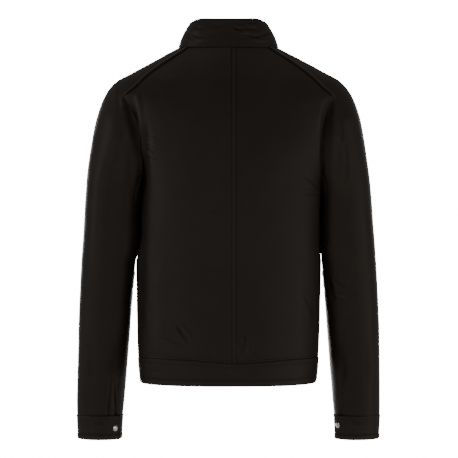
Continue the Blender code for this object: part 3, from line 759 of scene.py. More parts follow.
def waist_sag(points):
    """How far the back's seam over the waistband lies above its even level, and below it."""
    x, y, z = points[..., 0], points[..., 1], points[..., 2]
    seam = SAG_SIDE_RISE - SAG_DEPTH * bell(x, SAG_X, SAG_WIDTH)
    share = smooth_step(z, HEM_Z, WAIST_SEAM_Z)
    above = 1 - smooth_step(z, WAIST_SEAM_Z, WAIST_SEAM_Z + SAG_HEIGHT)
    behind = smooth_step(y, 0.0, SAG_REACH)
    return (SAG_HEM + (seam - SAG_HEM) * share) * above * behind


class Shell:
    """Points on a piece's outer face, how far each is lifted out of it, and its painted shade and
    highlight.
    """

    def __init__(self, name, rows, side=1):
        self.name = name
        self.side = side
        self.points = np.array(rows) * np.array((side, 1.0, 1.0))
        self.lift, self.wear, self.under = np.zeros((3, *self.points.shape[:2]))
        if "back" in name or "sleeve" in name:
            self.points[..., 0] -= armhole_drift(self.points)
        if "back" in name or "waistband" in name:
            self.points[..., 2] += waist_sag(self.points)
        self.measure()

    def measure(self):
        """Reads the outward normals and the distances from each edge off the points."""
        along, across = (np.gradient(self.points, axis=axis) for axis in (0, 1))
        self.normals = unit(np.cross(along, across))
        middle = self.points.mean(axis=(0, 1))
        hub = np.array((0.0, 0.0, middle[2]))
        if "sleeve" in self.name or "cuff" in self.name:
            ring = SLEEVE.at(min(middle[2], UNDERARM_Z))
            hub = np.array((self.side * ring["centre_x"], ring["centre_y"], middle[2]))
        row = len(self.points) // 2
        self.flip = bool(np.sum(self.normals[row] * (self.points[row] - hub)) < 0)
        if self.flip:
            self.normals = -self.normals
        self.from_start = self.lengths(1)
        self.from_end = self.from_start[:, -1:] - self.from_start
        self.from_bottom = self.lengths(0)
        self.from_top = self.from_bottom[-1:, :] - self.from_bottom

    def push(self, height):
        """Moves the whole wall out by height, where the lift only shapes its outer face."""
        self.points = self.points + self.normals * height[..., None]
        self.measure()

    def tuck_top(self):
        """Runs the top edge on into the collar, so that their seam never gapes."""
        self.points[-1] += unit(self.points[-1] - self.points[-2]) * TUCK

    def join_armhole(self, distances, where=1.0):
        """Lets both sides of the armhole's seam dip the same way, so that it never gapes."""
        y, z = self.points[..., 1], self.points[..., 2]
        down = -JOIN_FALL * (1 - np.minimum(np.abs(y) / JOIN_REACH, 1.0))
        common = unit(xyz(JOIN_ASIDE * self.side, y / JOIN_BEHIND, down))
        near = bell(getattr(self, distances), 0, JOIN_WIDTH) * where * between(z, *JOIN_SPAN)
        near = near[..., None]
        self.normals = unit(self.normals * (1 - near) + common * near)

    def lengths(self, axis):
        steps = np.linalg.norm(np.diff(self.points, axis=axis), axis=2)
        start = np.zeros_like(steps[:, :1] if axis else steps[:1])
        return np.concatenate((start, np.cumsum(steps, axis=axis)), axis=axis)

    def outer(self):
        return self.points + self.normals * self.lift[..., None]

    def inner(self, wall):
        lift = np.minimum(self.lift, INNER_SHARE * self.lift) - wall - self.under
        return self.points + self.normals * lift[..., None]

    def line(self, distances, place, rise=0.0001):
        """The outer face's points at one distance from an edge, named by which distances."""
        outer = self.outer() + self.normals * rise
        field = getattr(self, distances)
        if distances in ("from_top", "from_bottom"):
            outer, field = outer.swapaxes(0, 1), field.T
        found = []
        for points, keys in zip(outer, field):
            order = np.argsort(keys)
            found.append(read_at(place, keys[order], points[order]))
        return np.array(found)


def add_object(name, data):
    obj = bpy.data.objects.new(name, data)
    bpy.context.scene.collection.objects.link(obj)
    return obj


def new_mesh(name, points, faces, materials):
    mesh = bpy.data.meshes.new(name)
    mesh.from_pydata(points, [], faces)
    for material in materials:
        mesh.materials.append(material)
    return mesh


def make_mesh(name, shell, wall, outside, inside):
    """A closed wall between the shell's outer and inner faces."""
    rows, columns = shell.lift.shape
    points = np.concatenate((shell.outer().reshape(-1, 3), shell.inner(wall).reshape(-1, 3)))
    count = rows * columns
    grid = np.arange(count).reshape(rows, columns)
    corners = (grid[:-1, :-1], grid[1:, :-1], grid[1:, 1:], grid[:-1, 1:])
    quads = np.stack([corner.ravel() for corner in corners], axis=1)
    inner = quads[:, ::-1] + count
    loop = np.concatenate((grid[0, :], grid[1:, -1], grid[-1, -2::-1], grid[-2:0:-1, 0]))
    after = np.roll(loop, -1)
    rim = np.stack((loop, after, after + count, loop + count), axis=1)
    faces = np.concatenate((quads, inner, rim))
    if shell.flip:
        faces = faces[:, ::-1]
    mesh = new_mesh(name, points.tolist(), faces.tolist(), (outside, inside))
    slots = np.zeros(len(faces), np.int32)
    slots[len(quads) : 2 * len(quads)] = 1
    mesh.polygons.foreach_set("material_index", slots)
    # Each point's painted shade and highlight, which darken or lighten the leather's colour and
    # shift its roughness.
    wear = mesh.attributes.new("wear", "FLOAT", "POINT")
    values = np.tile(np.clip(shell.wear, *PAINTED_LIGHT_LIMITS).ravel(), 2)
    wear.data.foreach_set("value", values.astype(np.float32))
    mesh.shade_smooth()
    mesh.set_sharp_from_angle(angle=math.radians(SHELL_SHARP))
    mesh.validate()
    return add_object(name, mesh)


# ------------------------------------------------------------------ creases, seams and waves
CAMERA_Y = 3.5
CAMERA_Z = -0.33
PICTURE_STEP = 0.0019
PICTURE_SIZE = 458
PICTURE_CENTRE_X = 228.5
PICTURE_ORIGIN_Y = 47.5

# A crease's cross section, in shares of its width and depth: the low crests beside it, and how
# uneven it is along its length.
CREST_PLACE = 1.9
CREST_WIDTH = 0.9
CREST_HEIGHT = 0.33
UNEVEN_DEPTH = 0.22
# How much painted shade a crease's trough gets, and how much painted highlight its ridge gets, for
# each millimetre of depth.
CREASE_PAINTED_LIGHT = 0.42

# Creases seen from behind, by the start of the piece's name. Columns: x and y of the crease's
# start, middle and end on the picture, its width and its depth in millimetres. A ridge is positive.
CREASES_BEHIND = {
    "back_left": (
        (136, 93, 139.5, 110, 140, 134, 4.0, 1.4),
        (130, 96, 133, 112, 138, 140, 5.0, -1.5),
        (143, 122, 144, 150, 143, 196, 7.0, -1.8),
        (143, 160, 143, 240, 141, 345, 6.0, -1.3),
        (144, 136, 153, 137, 162, 140, 2.2, -0.9),
        (144, 142, 152, 144, 160, 146, 2.4, 0.8),
        (144, 148, 150, 151, 156, 156, 2.4, -0.9),
        (144, 157, 151, 159, 159, 160, 2.2, -0.6),
        (175, 325, 181, 333, 189, 345, 2.6, -1.5),
        (180, 324, 187, 333, 193, 341, 2.6, 0.9),
        (160, 338, 172, 341, 184, 346, 3.0, -0.8),
        (208, 210, 216, 212, 226, 211, 2.0, -0.35),
        (206, 238, 215, 240, 227, 238, 2.0, -0.35),
        (204, 268, 216, 270, 227, 268, 2.2, -0.4),
    ),
    "top_sleeve_left": (
        (127, 98, 130, 118, 136, 154, 6.0, -2.4),
        (134, 118, 138, 146, 139, 190, 7.0, -2.0),
        (124, 92, 125, 101, 127, 112, 3.2, -1.2),
        (119, 88, 118, 98, 120, 110, 3.6, -0.9),
        (128, 136, 130, 160, 128, 190, 6.0, -1.0),
        (112, 378, 109, 402, 108, 428, 1.8, -2.0),
        (113, 382, 112.5, 402, 112, 426, 1.9, 1.1),
        (115, 378, 115.5, 404, 116.5, 428, 1.8, -1.8),
        (106, 380, 106, 398, 105, 420, 1.6, -0.8),
        (119, 382, 120, 400, 121, 424, 2.2, -1.3),
        (104, 385, 104, 392, 104, 402, 2.0, -0.8),
        (120, 376, 120, 395, 119, 412, 2.4, 0.9),
    ),
    "back_right": (
        (330, 98, 325, 112, 321, 140, 5.0, -1.2),
        (303, 176, 311, 182, 319, 188, 2.4, -0.8),
        (306, 186, 313, 186, 320, 182, 2.2, 0.7),
        (303, 196, 312, 194, 320, 197, 2.2, -0.6),
        (304, 296, 309, 305, 311, 316, 2.6, -1.0),
        (310, 300, 313, 312, 311, 330, 2.6, -0.9),
        (242, 334, 245, 341, 241, 351, 2.6, -1.3),
        (248, 343, 247, 350, 249, 357, 2.4, 0.9),
        (235, 343, 237, 349, 236, 357, 2.6, 1.0),
        (254, 347, 255, 352, 253, 358, 2.2, -0.6),
    ),
    "top_sleeve_right": (
        (334, 100, 329, 122, 326, 190, 6.5, -2.6),
        (327, 106, 323, 136, 322, 190, 4.4, -3.2),
        (327, 276, 331, 288, 334, 302, 3.2, -1.6),
        (333, 279, 339, 284, 347, 288, 2.8, -1.0),
        (331, 292, 340, 296, 350, 297, 2.8, 0.9),
        (345, 143, 347, 160, 346, 182, 3.4, -0.8),
        (340, 120, 342, 132, 341, 148, 3.2, -0.7),
        (342, 355, 344, 375, 342, 400, 4.0, -0.7),
        (334, 386, 333, 404, 333, 428, 2.4, -0.8),
        (343, 398, 343, 405, 342, 413, 2.0, -1.0),
    ),
    "collar": (
        (207, 27, 215, 27.5, 225, 27, 2.0, -0.9),
        (232, 26, 239, 30, 250, 28, 2.4, -2.4),
        (233, 22.5, 238, 24.5, 245, 25, 2.2, -1.0),
        (245, 25.5, 251, 26, 258, 26, 2.0, 1.5),
        (246, 23, 252, 23.5, 258, 23, 2.0, -1.2),
        (247, 30, 253, 29.5, 259, 31, 2.2, -1.8),
        (248, 34, 255, 37, 266, 35, 2.4, -2.3),
        (262, 35, 267, 34, 273, 32.5, 2.2, -1.9),
        (240, 33.5, 246, 33, 252, 34, 2.2, 1.3),
        (258, 33, 263, 31.5, 268, 31, 2.0, 1.1),
        (231, 37, 240, 38.5, 252, 38, 1.8, -1.0),
        (254, 40.5, 262, 41, 271, 40, 1.8, 0.9),
        (206, 32, 214, 32.5, 224, 32, 2.2, 0.6),
        (193, 27, 199, 28.5, 207, 28, 2.2, -1.1),
        (192, 35, 199, 37, 206, 35.5, 2.2, -1.6),
        (187, 31, 193, 32, 201, 31, 2.4, 1.3),
        (184, 37, 190, 38, 196, 40, 2.2, -1.0),
        (196, 39.5, 202, 40, 210, 39, 2.0, 0.8),
    ),
    "cuff_right": (
        (351, 419, 358, 423, 366, 421, 3.6, -0.9),
    ),
    "cuff_left": (
        (92, 421, 98, 424, 105, 423, 3.2, -0.5),
    ),
    "waistband": (
        (149, 368, 156, 371, 163, 369, 3.0, -0.4),
        (226, 371, 234, 374, 241, 372, 3.0, 0.4),
        (248, 372, 256, 375, 263, 373, 3.0, -0.4),
    ),
}

# Creases of the hidden front, in the same columns, on the picture's scale but seen straight on.
CREASES_BEFORE = {
    "front_left": (
        (150, 142, 160, 146, 171, 153, 2.8, -1.1),
        (148, 155, 157, 158, 168, 166, 2.6, 0.8),
        (148, 168, 156, 172, 164, 180, 2.6, -0.7),
        (163, 318, 172, 328, 184, 337, 3.0, -1.2),
        (199, 334, 203, 341, 202, 351, 2.8, -1.0),
        (206, 250, 213, 253, 221, 252, 2.4, -0.5),
    ),
    "front_right": (
        (307, 138, 298, 143, 288, 151, 2.8, -1.1),
        (309, 150, 301, 154, 291, 162, 2.6, 0.8),
        (309, 164, 302, 169, 295, 177, 2.6, -0.7),
        (296, 322, 287, 330, 276, 340, 3.0, -1.1),
        (256, 336, 252, 343, 254, 352, 2.8, -1.0),
        (236, 276, 243, 279, 251, 277, 2.4, -0.5),
    ),
    "top_sleeve_left": (
        (128, 104, 130, 121, 132, 142, 4.4, -2.2),
        (124, 259, 112, 266, 103, 266, 4.4, -1.5),
        (119, 274, 110, 280, 102, 286, 5.0, 1.1),
        (122, 290, 112, 290, 98, 297, 3.8, -1.4),
        (112, 311, 106, 313, 101, 312, 3.4, -0.6),
    ),
    "top_sleeve_right": (
        (329, 112, 328, 124, 326, 140, 4.4, -1.2),
        (333, 262, 344, 270, 353, 273, 4.6, -1.4),
        (340, 284, 349, 284, 361, 279, 4.6, 1.1),
        (337, 297, 347, 303, 355, 300, 3.8, -1.2),
        (350, 316, 355, 319, 359, 317, 3.0, -0.5),
    ),
    "collar": (
        (190, 41, 200, 46, 208, 54, 2.0, -0.8),
        (267, 43, 257, 49, 249, 58, 2.0, -0.8),
    ),
}

# Creases of the sleeves' sides, seen from the wearer's left or right: y and z in millimetres.
CREASES_ASIDE = {
    "top_sleeve": (
        (-58, -388, -30, -402, 4, -398, 4.8, -1.3),
        (-60, -424, -38, -432, -14, -444, 4.2, 0.9),
        (-56, -448, -38, -452, -2, -464, 4.0, -0.9),
        (-30, -150, -26, -180, -20, -215, 5.0, -1.0),
        (26, -560, 24, -600, 14, -640, 5.0, -0.7),
    ),
    "under_sleeve": (
        (-50, -388, -26, -396, 4, -392, 4.4, -1.4),
        (-50, -420, -26, -430, 6, -428, 4.2, 1.1),
        (-44, -452, -24, -460, 0, -456, 4.0, -1.0),
    ),
}

# Long soft waves in the leather. Columns: length across x, y and z in metres, height and phase.
WAVES = (
    (0.21, 0.33, 0.95, 0.00040, 0.4),
    (0.13, -0.42, 0.60, 0.00032, 1.9),
    (-0.094, 0.21, 0.37, 0.00026, 3.1),
    (0.071, 0.16, -0.29, 0.00018, 4.4),
    (0.052, -0.11, 0.085, 0.00010, 5.3),
    (-0.041, 0.060, 0.055, 0.00008, 0.9),
)


def picture_place(points, from_behind):
    """The place of each point on the picture, as the camera sees it or straight on."""
    scale = CAMERA_Y / (CAMERA_Y - points[..., 1] * from_behind)
    x = points[..., 0] * scale
    z = CAMERA_Z + (points[..., 2] - CAMERA_Z) * scale
    across = PICTURE_CENTRE_X - x / PICTURE_STEP
    down = PICTURE_ORIGIN_Y - z / PICTURE_STEP
    return np.stack((across, down), axis=-1)


def crease_lift(places, corners, width, depth):
    """How far one crease lifts each place, all in millimetres."""
    start, middle, end = corners
    control = 2 * middle - (start + end) / 2
    t = np.linspace(0, 1, 25)[:, None]
    curve = start * (1 - t) ** 2 + 2 * control * t * (1 - t) + end * t ** 2
    low = curve.min(axis=0) - 4 * width
    high = curve.max(axis=0) + 4 * width
    near = np.all((places > low) & (places < high), axis=-1)
    lift = np.zeros(places.shape[:-1])
    if not near.any():
        return lift
    chosen = places[near]
    best = np.full(len(chosen), np.inf)
    share = np.zeros(len(chosen))
    for index, (here, following) in enumerate(zip(curve, curve[1:])):
        step = following - here
        along = np.clip(((chosen - here) @ step) / (step @ step), 0, 1)
        gap = np.linalg.norm(chosen - here - along[:, None] * step, axis=1)
        closer = gap < best
        best = np.where(closer, gap, best)
        share = np.where(closer, (index + along) / (len(curve) - 1), share)
    taper = np.sin(np.pi * np.clip(share, 0.0, 1.0)) ** 0.7
    taper *= 1 + UNEVEN_DEPTH * np.sin(9.0 * share + 3.7 * start[0])
    beside = bell(best, CREST_PLACE * width, CREST_WIDTH * width)
    lift[near] = depth * taper * (bell(best, 0, width) - CREST_HEIGHT * beside)
    return lift


def add_creases(shell, strength):
    pixel = PICTURE_STEP * 1000
    facing = shell.normals
    views = (
        (CREASES_BEHIND, picture_place(shell.points, True) * pixel, pixel, facing[..., 1]),
        (CREASES_BEFORE, picture_place(shell.points, False) * pixel, pixel, -facing[..., 1]),
        (CREASES_ASIDE, shell.points[..., 1:] * 1000, 1.0, np.abs(facing[..., 0])),
    )
    for creases, places, scale, towards in views:
        shown = smooth_step(towards, 0.05, 0.4)
        for name, rows in creases.items():
            if not shell.name.startswith(name):
                continue
            for *corners, width, depth in rows:
                corners = np.reshape(corners, (3, 2)) * scale
                lift = crease_lift(places, corners, width, depth) * shown * strength
                shell.lift += lift / 1000
                # Painted shade in the crease's trough and painted highlight on its ridges.
                shell.wear += CREASE_PAINTED_LIGHT * lift


def add_waves(shell, strength):
    x, y, z = np.moveaxis(shell.points, -1, 0)
    for across, deep, up, height, phase in WAVES:
        turn = x / across + y / deep + z / up
        shell.lift += strength * height * np.sin(2 * np.pi * turn + phase)


def lean_together(shell, outward):
    """Where a hanging sleeve lies on the body: the one is hollowed and the other swells."""
    x, y, z = np.abs(shell.points[..., 0]), shell.points[..., 1], shell.points[..., 2]
    lean, roll = LEAN[shell.side]
    ring = SLEEVE.at(z)
    aside = bell(y, ring["centre_y"], LEAN_WIDTH) * smooth_step(-x, *LEAN_INNER)
    height = outward * lean * between(z, *LEAN_SPAN) * aside
    if outward < 0:
        height = height - CLEAR_DEPTH * between(z, *CLEAR_SPAN) * bell(y, CLEAR_Y, CLEAR_WIDTH)
    else:
        behind = (y - ring["centre_y"]) / ring["half_depth"]
        turn = np.degrees(np.arctan2(behind, (x - ring["centre_x"]) / ring["half_width"]))
        height = height + roll * between(z, *ROLL_SPAN) * bell(turn, ROLL_ANGLE, ROLL_WIDTH)
    shell.push(height)


def dip_edge(shell, distances, depth=0.0010, width=0.0014, where=1.0):
    """Lets an edge dip into its seam, with painted shade darkening the leather along the dip."""
    gap = getattr(shell, distances)
    shell.lift -= depth * bell(gap, 0, width) * where
    # Painted shade along the dipping edge.
    shell.wear -= 0.5 * bell(gap, 0, 1.1 * width) * where


def dent_line(shell, distances, place, depth=0.00030, width=0.0009, where=1.0):
    """Presses in the line that a row of stitches follows, with painted shade along it."""
    gap = getattr(shell, distances)
    shell.lift -= depth * bell(gap, place, width) * where
    # Painted shade along the pressed line.
    shell.wear -= 0.40 * bell(gap, place, 1.2 * width) * where


def raise_lap(shell, distances, height, width, where=1.0, crest_highlight=0.45):
    """The turned-under layers beside a seam: a flat ridge that ends softly, with a painted
    highlight on its crest and painted shade just past its edge.
    """
    gap = getattr(shell, distances)
    shell.lift += height * (1 - smooth_step(gap, 0.90 * width, 1.20 * width)) * where
    # A painted highlight along the crest, and painted shade just past the ridge's edge where it
    # steps down.
    shell.wear += crest_highlight * bell(gap, 0.55 * width, 0.32 * width) * where
    shell.wear -= (0.25 + 0.45 * crest_highlight) * bell(gap, 1.22 * width, 0.26 * width) * where


# How each piece's edges are shaped. Columns: the shaping, the edge and the shaping's own measures,
# which are a dip's depth and width, a dent's place and depth, a lap's height and width, and then
# how strong a dip or a lap is.
# Dips and dents also paint shade into the leather's colour, and laps paint a highlight on their
# crests and shade past their edges.
EDGES = {
    "panel": (
        (dip_edge, "from_bottom", 0.0010, 0.0016),
        (raise_lap, "from_bottom", 0.0005, 0.0036),
        (dent_line, "from_bottom", WAIST_STITCHES, 0.00025),
    ),
    "centre_back": (
        (raise_lap, "from_start", 0.0005, 0.0062),
        (dent_line, "from_start", CENTRE_STITCHES),
    ),
    "front": ((dent_line, "from_start", FRONT_STITCHES),),
    "top_sleeve": (
        (dip_edge, "from_bottom", 0.0006, 0.0016, 0.5),
        (dip_edge, "from_top", 0.0008, 0.0016),
    ),
    "under_sleeve": (
        (dip_edge, "from_start", 0.0008, 0.0011),
        (dip_edge, "from_end", 0.0008, 0.0011),
        (dip_edge, "from_top", 0.0008, 0.0011),
        (dip_edge, "from_bottom", 0.0008, 0.0011),
    ),
    "collar": (
        (dip_edge, "from_top", 0.0013, 0.0012),
        (dent_line, "from_top", COLLAR_TOP_STITCHES),
        (dip_edge, "from_bottom", 0.0012, 0.0012),
        (dent_line, "from_bottom", COLLAR_STITCHES),
        (dip_edge, "from_start", 0.0010, 0.0010),
        (dip_edge, "from_end", 0.0010, 0.0010),
    ),
    "waistband": (
        (dip_edge, "from_top", 0.0013, 0.0012),
        (dent_line, "from_top", BAND_TOP_STITCHES),
        (dip_edge, "from_bottom", 0.0014, 0.0013),
        (raise_lap, "from_bottom", 0.0003, 0.0100, 0.5),
        (dent_line, "from_bottom", HEM_STITCHES, 0.0003),
        (dip_edge, "from_start", 0.0010, 0.0010),
        (dip_edge, "from_end", 0.0010, 0.0010),
    ),
    "cuff": (
        (dip_edge, "from_top", 0.0011, 0.0011, 0.6),
        (raise_lap, "from_top", 0.0003, 0.0040),
        (dent_line, "from_top", CUFF_TOP_STITCHES),
        (dip_edge, "from_bottom", 0.0012, 0.0012),
        (raise_lap, "from_bottom", 0.0008, 0.0085),
        (dent_line, "from_bottom", CUFF_STITCHES),
        (dip_edge, "from_start", 0.0009, 0.0010),
        (dent_line, "from_start", CUFF_END_STITCHES),
    ),
}


def shape_edges(shell, piece):
    for shape, distances, *measures in EDGES[piece]:
        shape(shell, distances, *measures)


# ------------------------------------------------------------------ finishes
GRAIN_SCALES = ("Pebble Scale", "Pore Scale", "Cloud Scale")
SPECULAR = "Specular IOR Level"


def new_socket(group, name, kind, value=None, direction="INPUT"):
    socket = group.interface.new_socket(name, in_out=direction, socket_type="NodeSocket" + kind)
    if value is not None:
        socket.default_value = value
    return socket.identifier


class Wiring:
    """A node tree that is being put together."""

    def __init__(self, tree):
        self.tree = tree

    def feed(self, socket, value):
        """Gives the socket a plain value, or links it to another node's output."""
        if isinstance(value, bpy.types.NodeSocket):
            self.tree.links.new(value, socket)
        else:
            socket.default_value = value

    def node(self, kind, inputs=None, **settings):
        """A new node. Inputs are named by the sockets' names or numbers."""
        node = self.tree.nodes.new(kind)
        for name, value in settings.items():
            setattr(node, name, value)
        for name, value in (inputs or {}).items():
            self.feed(node.inputs[name], value)
        return node

    def math(self, operation, first, second):
        return self.node("ShaderNodeMath", {0: first, 1: second}, operation=operation).outputs[0]

    def place(self):
        return self.node("ShaderNodeTexCoord").outputs["Object"]

    def ramp(self, value, stops):
        """Colours between the stops' places, from the first stop to the last."""
        ramp = self.node("ShaderNodeValToRGB", {"Fac": value})
        elements = ramp.color_ramp.elements
        for element, (position, colour) in zip(elements, (stops[0], stops[-1])):
            element.position = position
            element.color = (*colour, 1.0)
        for position, colour in stops[1:-1]:
            elements.new(position).color = (*colour, 1.0)
        return ramp.outputs["Color"]


class Finish(Wiring):
    """A material whose grain has its own scales of pebbles, pores and clouds."""

    def __init__(self, name, grain=None, scales=()):
        self.material = bpy.data.materials.new(name)
        self.material.use_nodes = True
        super().__init__(self.material.node_tree)
        self.shader = self.tree.nodes["Principled BSDF"]
        if grain:
            inputs = dict(zip(GRAIN_SCALES, scales))
            self.grain = self.node("ShaderNodeGroup", inputs, node_tree=grain)

    def tones(self, colour, *stops):
        """Cloudy shares of one colour. A stop is a place and a share."""
        base = np.array(colour)
        stops = [(position, tuple(base * share)) for position, share in stops]
        return self.ramp(self.grain.outputs["Cloud"], stops)

    def look(self, inputs):
        for name, value in inputs.items():
            self.feed(self.shader.inputs[name], value)

    def bump(self, height, strength, distance):
        inputs = {"Strength": strength, "Distance": distance, "Height": height}
        bump = self.node("ShaderNodeBump", inputs)
        self.feed(self.shader.inputs["Normal"], bump.outputs["Normal"])


def build_grain():
    """Leather grain: pebbles, fine pores and a soft cloudy tone of its own, in the object's own
    coordinates.
    """
    group = bpy.data.node_groups.new("leather_grain", "ShaderNodeTree")
    for name, value in zip(GRAIN_SCALES, (620.0, 2400.0, 9.0)):
        new_socket(group, name, "Float", value)
    for name in ("Height", "Cloud", "Speck"):
        new_socket(group, name, "Float", direction="OUTPUT")
    wiring = Wiring(group)
    scales = wiring.node("NodeGroupInput").outputs
    place = wiring.place()

    def texture(kind, scale, inputs, **settings):
        inputs = {"Vector": place, "Scale": scales[scale], **inputs}
        return wiring.node(kind, inputs, **settings)

    pebbles = texture(
        "ShaderNodeTexVoronoi", "Pebble Scale", {"Randomness": 1.0}, feature="SMOOTH_F1"
    )
    pores = texture("ShaderNodeTexNoise", "Pore Scale", {"Detail": 2.0})
    clouds = texture("ShaderNodeTexNoise", "Cloud Scale", {"Detail": 5.0, "Roughness": 0.62})
    rounded = wiring.math("POWER", pebbles.outputs["Distance"], 1.6)
    height = wiring.math("SUBTRACT", 1.0, rounded)
    fine = wiring.math("MULTIPLY", pores.outputs["Fac"], 0.45)
    results = {
        "Height": wiring.math("ADD", height, fine),
        "Cloud": clouds.outputs["Fac"],
        "Speck": pores.outputs["Fac"],
    }
    wiring.node("NodeGroupOutput", results)
    return group


def grey(value):
    return (value, value, value)


def leather_finish(look, group):
    finish = Finish("black_leather", group, (760.0, 2600.0, 7.0))
    colour = finish.tones(look.leather_colour, (0.30, 0.82), (0.55, 1.0), (0.78, 1.25))
    # Painted shade and highlight: the attribute darkens the colour in creases, dips and dents,
    # lightens it on ridges and crests, and also shifts the roughness.
    painted_light_fac = finish.node("ShaderNodeAttribute", attribute_name="wear").outputs["Fac"]
    painted_light_scale = finish.math("ADD", finish.math("MULTIPLY", painted_light_fac, 0.75), 1.0)
    painted_light_colour = finish.node(
        "ShaderNodeVectorMath", {"Vector": colour, "Scale": painted_light_scale}, operation="SCALE"
    )
    low, high = look.leather_roughness - 0.06, look.leather_roughness + 0.07
    cloud = finish.grain.outputs["Cloud"]
    rough = finish.ramp(cloud, ((0.35, grey(low)), (0.7, grey(high))))
    rough = finish.math("SUBTRACT", rough, finish.math("MULTIPLY", painted_light_fac, 0.12))
    finish.look({"Base Color": painted_light_colour.outputs["Vector"], "Roughness": rough, SPECULAR: 0.17})
    finish.bump(finish.grain.outputs["Height"], 0.30, 0.00022)
    return finish.material


def inside_finish(look, group):
    """The leather's plain flesh side."""
    finish = Finish("leather_inside", group, (1500.0, 4200.0, 12.0))
    colour = finish.tones(look.inside_colour, (0.3, 0.75), (0.7, 1.2))
    finish.look({"Base Color": colour, "Roughness": 0.88, SPECULAR: 0.25})
    finish.bump(finish.grain.outputs["Height"], 0.35, 0.00020)
    return finish.material


def thread_finish(look, group):
    finish = Finish("black_thread", group, (3200.0, 6000.0, 40.0))
    colour = finish.tones(look.thread_colour, (0.3, 0.8), (0.7, 1.2))
    finish.look({"Base Color": colour, "Roughness": 0.55})
    finish.bump(finish.grain.outputs["Height"], 0.3, 0.00008)
    return finish.material


def tape_finish(group):
    """Woven zip tape: fine crossing ribs."""
    finish = Finish("zip_tape", group, (1800.0, 5200.0, 30.0))
    inputs = {"Scale": 420.0, "Distortion": 0.4, "Vector": finish.place()}
    ribs = finish.node("ShaderNodeTexWave", inputs, bands_direction="X").outputs["Fac"]
    tones = ((0.25, (0.006, 0.006, 0.007)), (0.8, (0.016, 0.016, 0.018)))
    finish.look({"Base Color": finish.ramp(ribs, tones), "Roughness": 0.82})
    finish.bump(finish.math("ADD", ribs, finish.grain.outputs["Speck"]), 0.4, 0.00012)
    return finish.material


def metal_finish(name, group, shade, roughness, brushed=False):
    finish = Finish(name, group, (900.0, 3800.0, 60.0))
    low, high = max(roughness - 0.05, 0.05), roughness + 0.08
    cloud = finish.grain.outputs["Cloud"]
    rough = finish.ramp(cloud, ((0.3, grey(low)), (0.7, grey(high))))
    colour = finish.tones(shade, (0.3, 0.88), (0.7, 1.0))
    finish.look({"Base Color": colour, "Roughness": rough, "Metallic": 1.0})
    height = finish.grain.outputs["Speck"]
    if brushed:
        inputs = {"Scale": (6000.0, 300.0, 300.0), "Vector": finish.place()}
        turn = finish.node("ShaderNodeMapping", inputs)
        inputs = {"Scale": 1.0, "Vector": turn.outputs["Vector"]}
        height = finish.node("ShaderNodeTexNoise", inputs).outputs["Fac"]
    finish.bump(height, 0.10, 0.00004)
    return finish.material


# Columns: a metal's name, colour and roughness, and whether it is brushed.
METALS = {
    "snap": ("snap_metal", (0.66, 0.65, 0.63), 0.20, False),
    # A dark metal on the snap's side wall: painted shade and reflection standing in for the dark
    # edge round the cap.
    "snap_rim": ("snap_rim", (0.10, 0.10, 0.10), 0.42, False),
    "steel": ("zip_metal", (0.42, 0.41, 0.40), 0.30, True),
    "teeth": ("zip_teeth", (0.30, 0.29, 0.28), 0.34, False),
}


def build_finishes(look):
    grain = build_grain()
    finishes = {
        "leather": leather_finish(look, grain),
        "inside": inside_finish(look, grain),
        "thread": thread_finish(look, grain),
        "tape": tape_finish(grain),
    }
    for key, (name, *shade) in METALS.items():
        finishes[key] = metal_finish(name, grain, *shade)
    return finishes


# ------------------------------------------------------------------ repeated pieces along a line


def build_repeater(name, shape):
    """Geometry nodes that put one small shape again and again along each line of a curve."""
    group = bpy.data.node_groups.new(name, "GeometryNodeTree")
    for direction in ("OUTPUT", "INPUT"):
        new_socket(group, "Geometry", "Geometry", direction=direction)
    sockets = {
        "pitch": new_socket(group, "Pitch", "Float", 0.0034),
        "size": new_socket(group, "Size", "Vector", (0.0003, 0.0003, 0.0012)),
        "material": new_socket(group, "Material", "Material"),
    }
    wiring = Wiring(group)
    given = wiring.node("NodeGroupInput").outputs
    inputs = {"Curve": given["Geometry"], "Length": given["Pitch"]}
    spots = wiring.node("GeometryNodeCurveToPoints", inputs, mode="LENGTH").outputs
    if shape == "thread":
        inputs = {"Segments": 6, "Rings": 4, "Radius": 1.0}
        base = wiring.node("GeometryNodeMeshUVSphere", inputs)
    else:
        base = wiring.node("GeometryNodeMeshCube", {"Size": (2.0, 2.0, 2.0)})
    inputs = {"Geometry": base.outputs["Mesh"], "Scale": given["Size"]}
    sized = wiring.node("GeometryNodeTransform", inputs)
    inputs = {
        "Points": spots["Points"],
        "Instance": sized.outputs["Geometry"],
        "Rotation": spots["Rotation"],
    }
    put = wiring.node("GeometryNodeInstanceOnPoints", inputs)
    real = wiring.node("GeometryNodeRealizeInstances", {"Geometry": put.outputs["Instances"]})
    inputs = {"Geometry": real.outputs["Geometry"], "Material": given["Material"]}
    finish = wiring.node("GeometryNodeSetMaterial", inputs)
    wiring.node("NodeGroupOutput", {"Geometry": finish.outputs["Geometry"]})
    return group, sockets


def curve_of(name, lines):
    data = bpy.data.curves.new(name, "CURVE")
    data.dimensions = "3D"
    for line in lines:
        spline = data.splines.new("POLY")
        spline.points.add(len(line) - 1)
        flat = np.concatenate((line, np.ones((len(line), 1))), axis=1)
        spline.points.foreach_set("co", flat.astype(np.float32).ravel())
    return add_object(name, data)


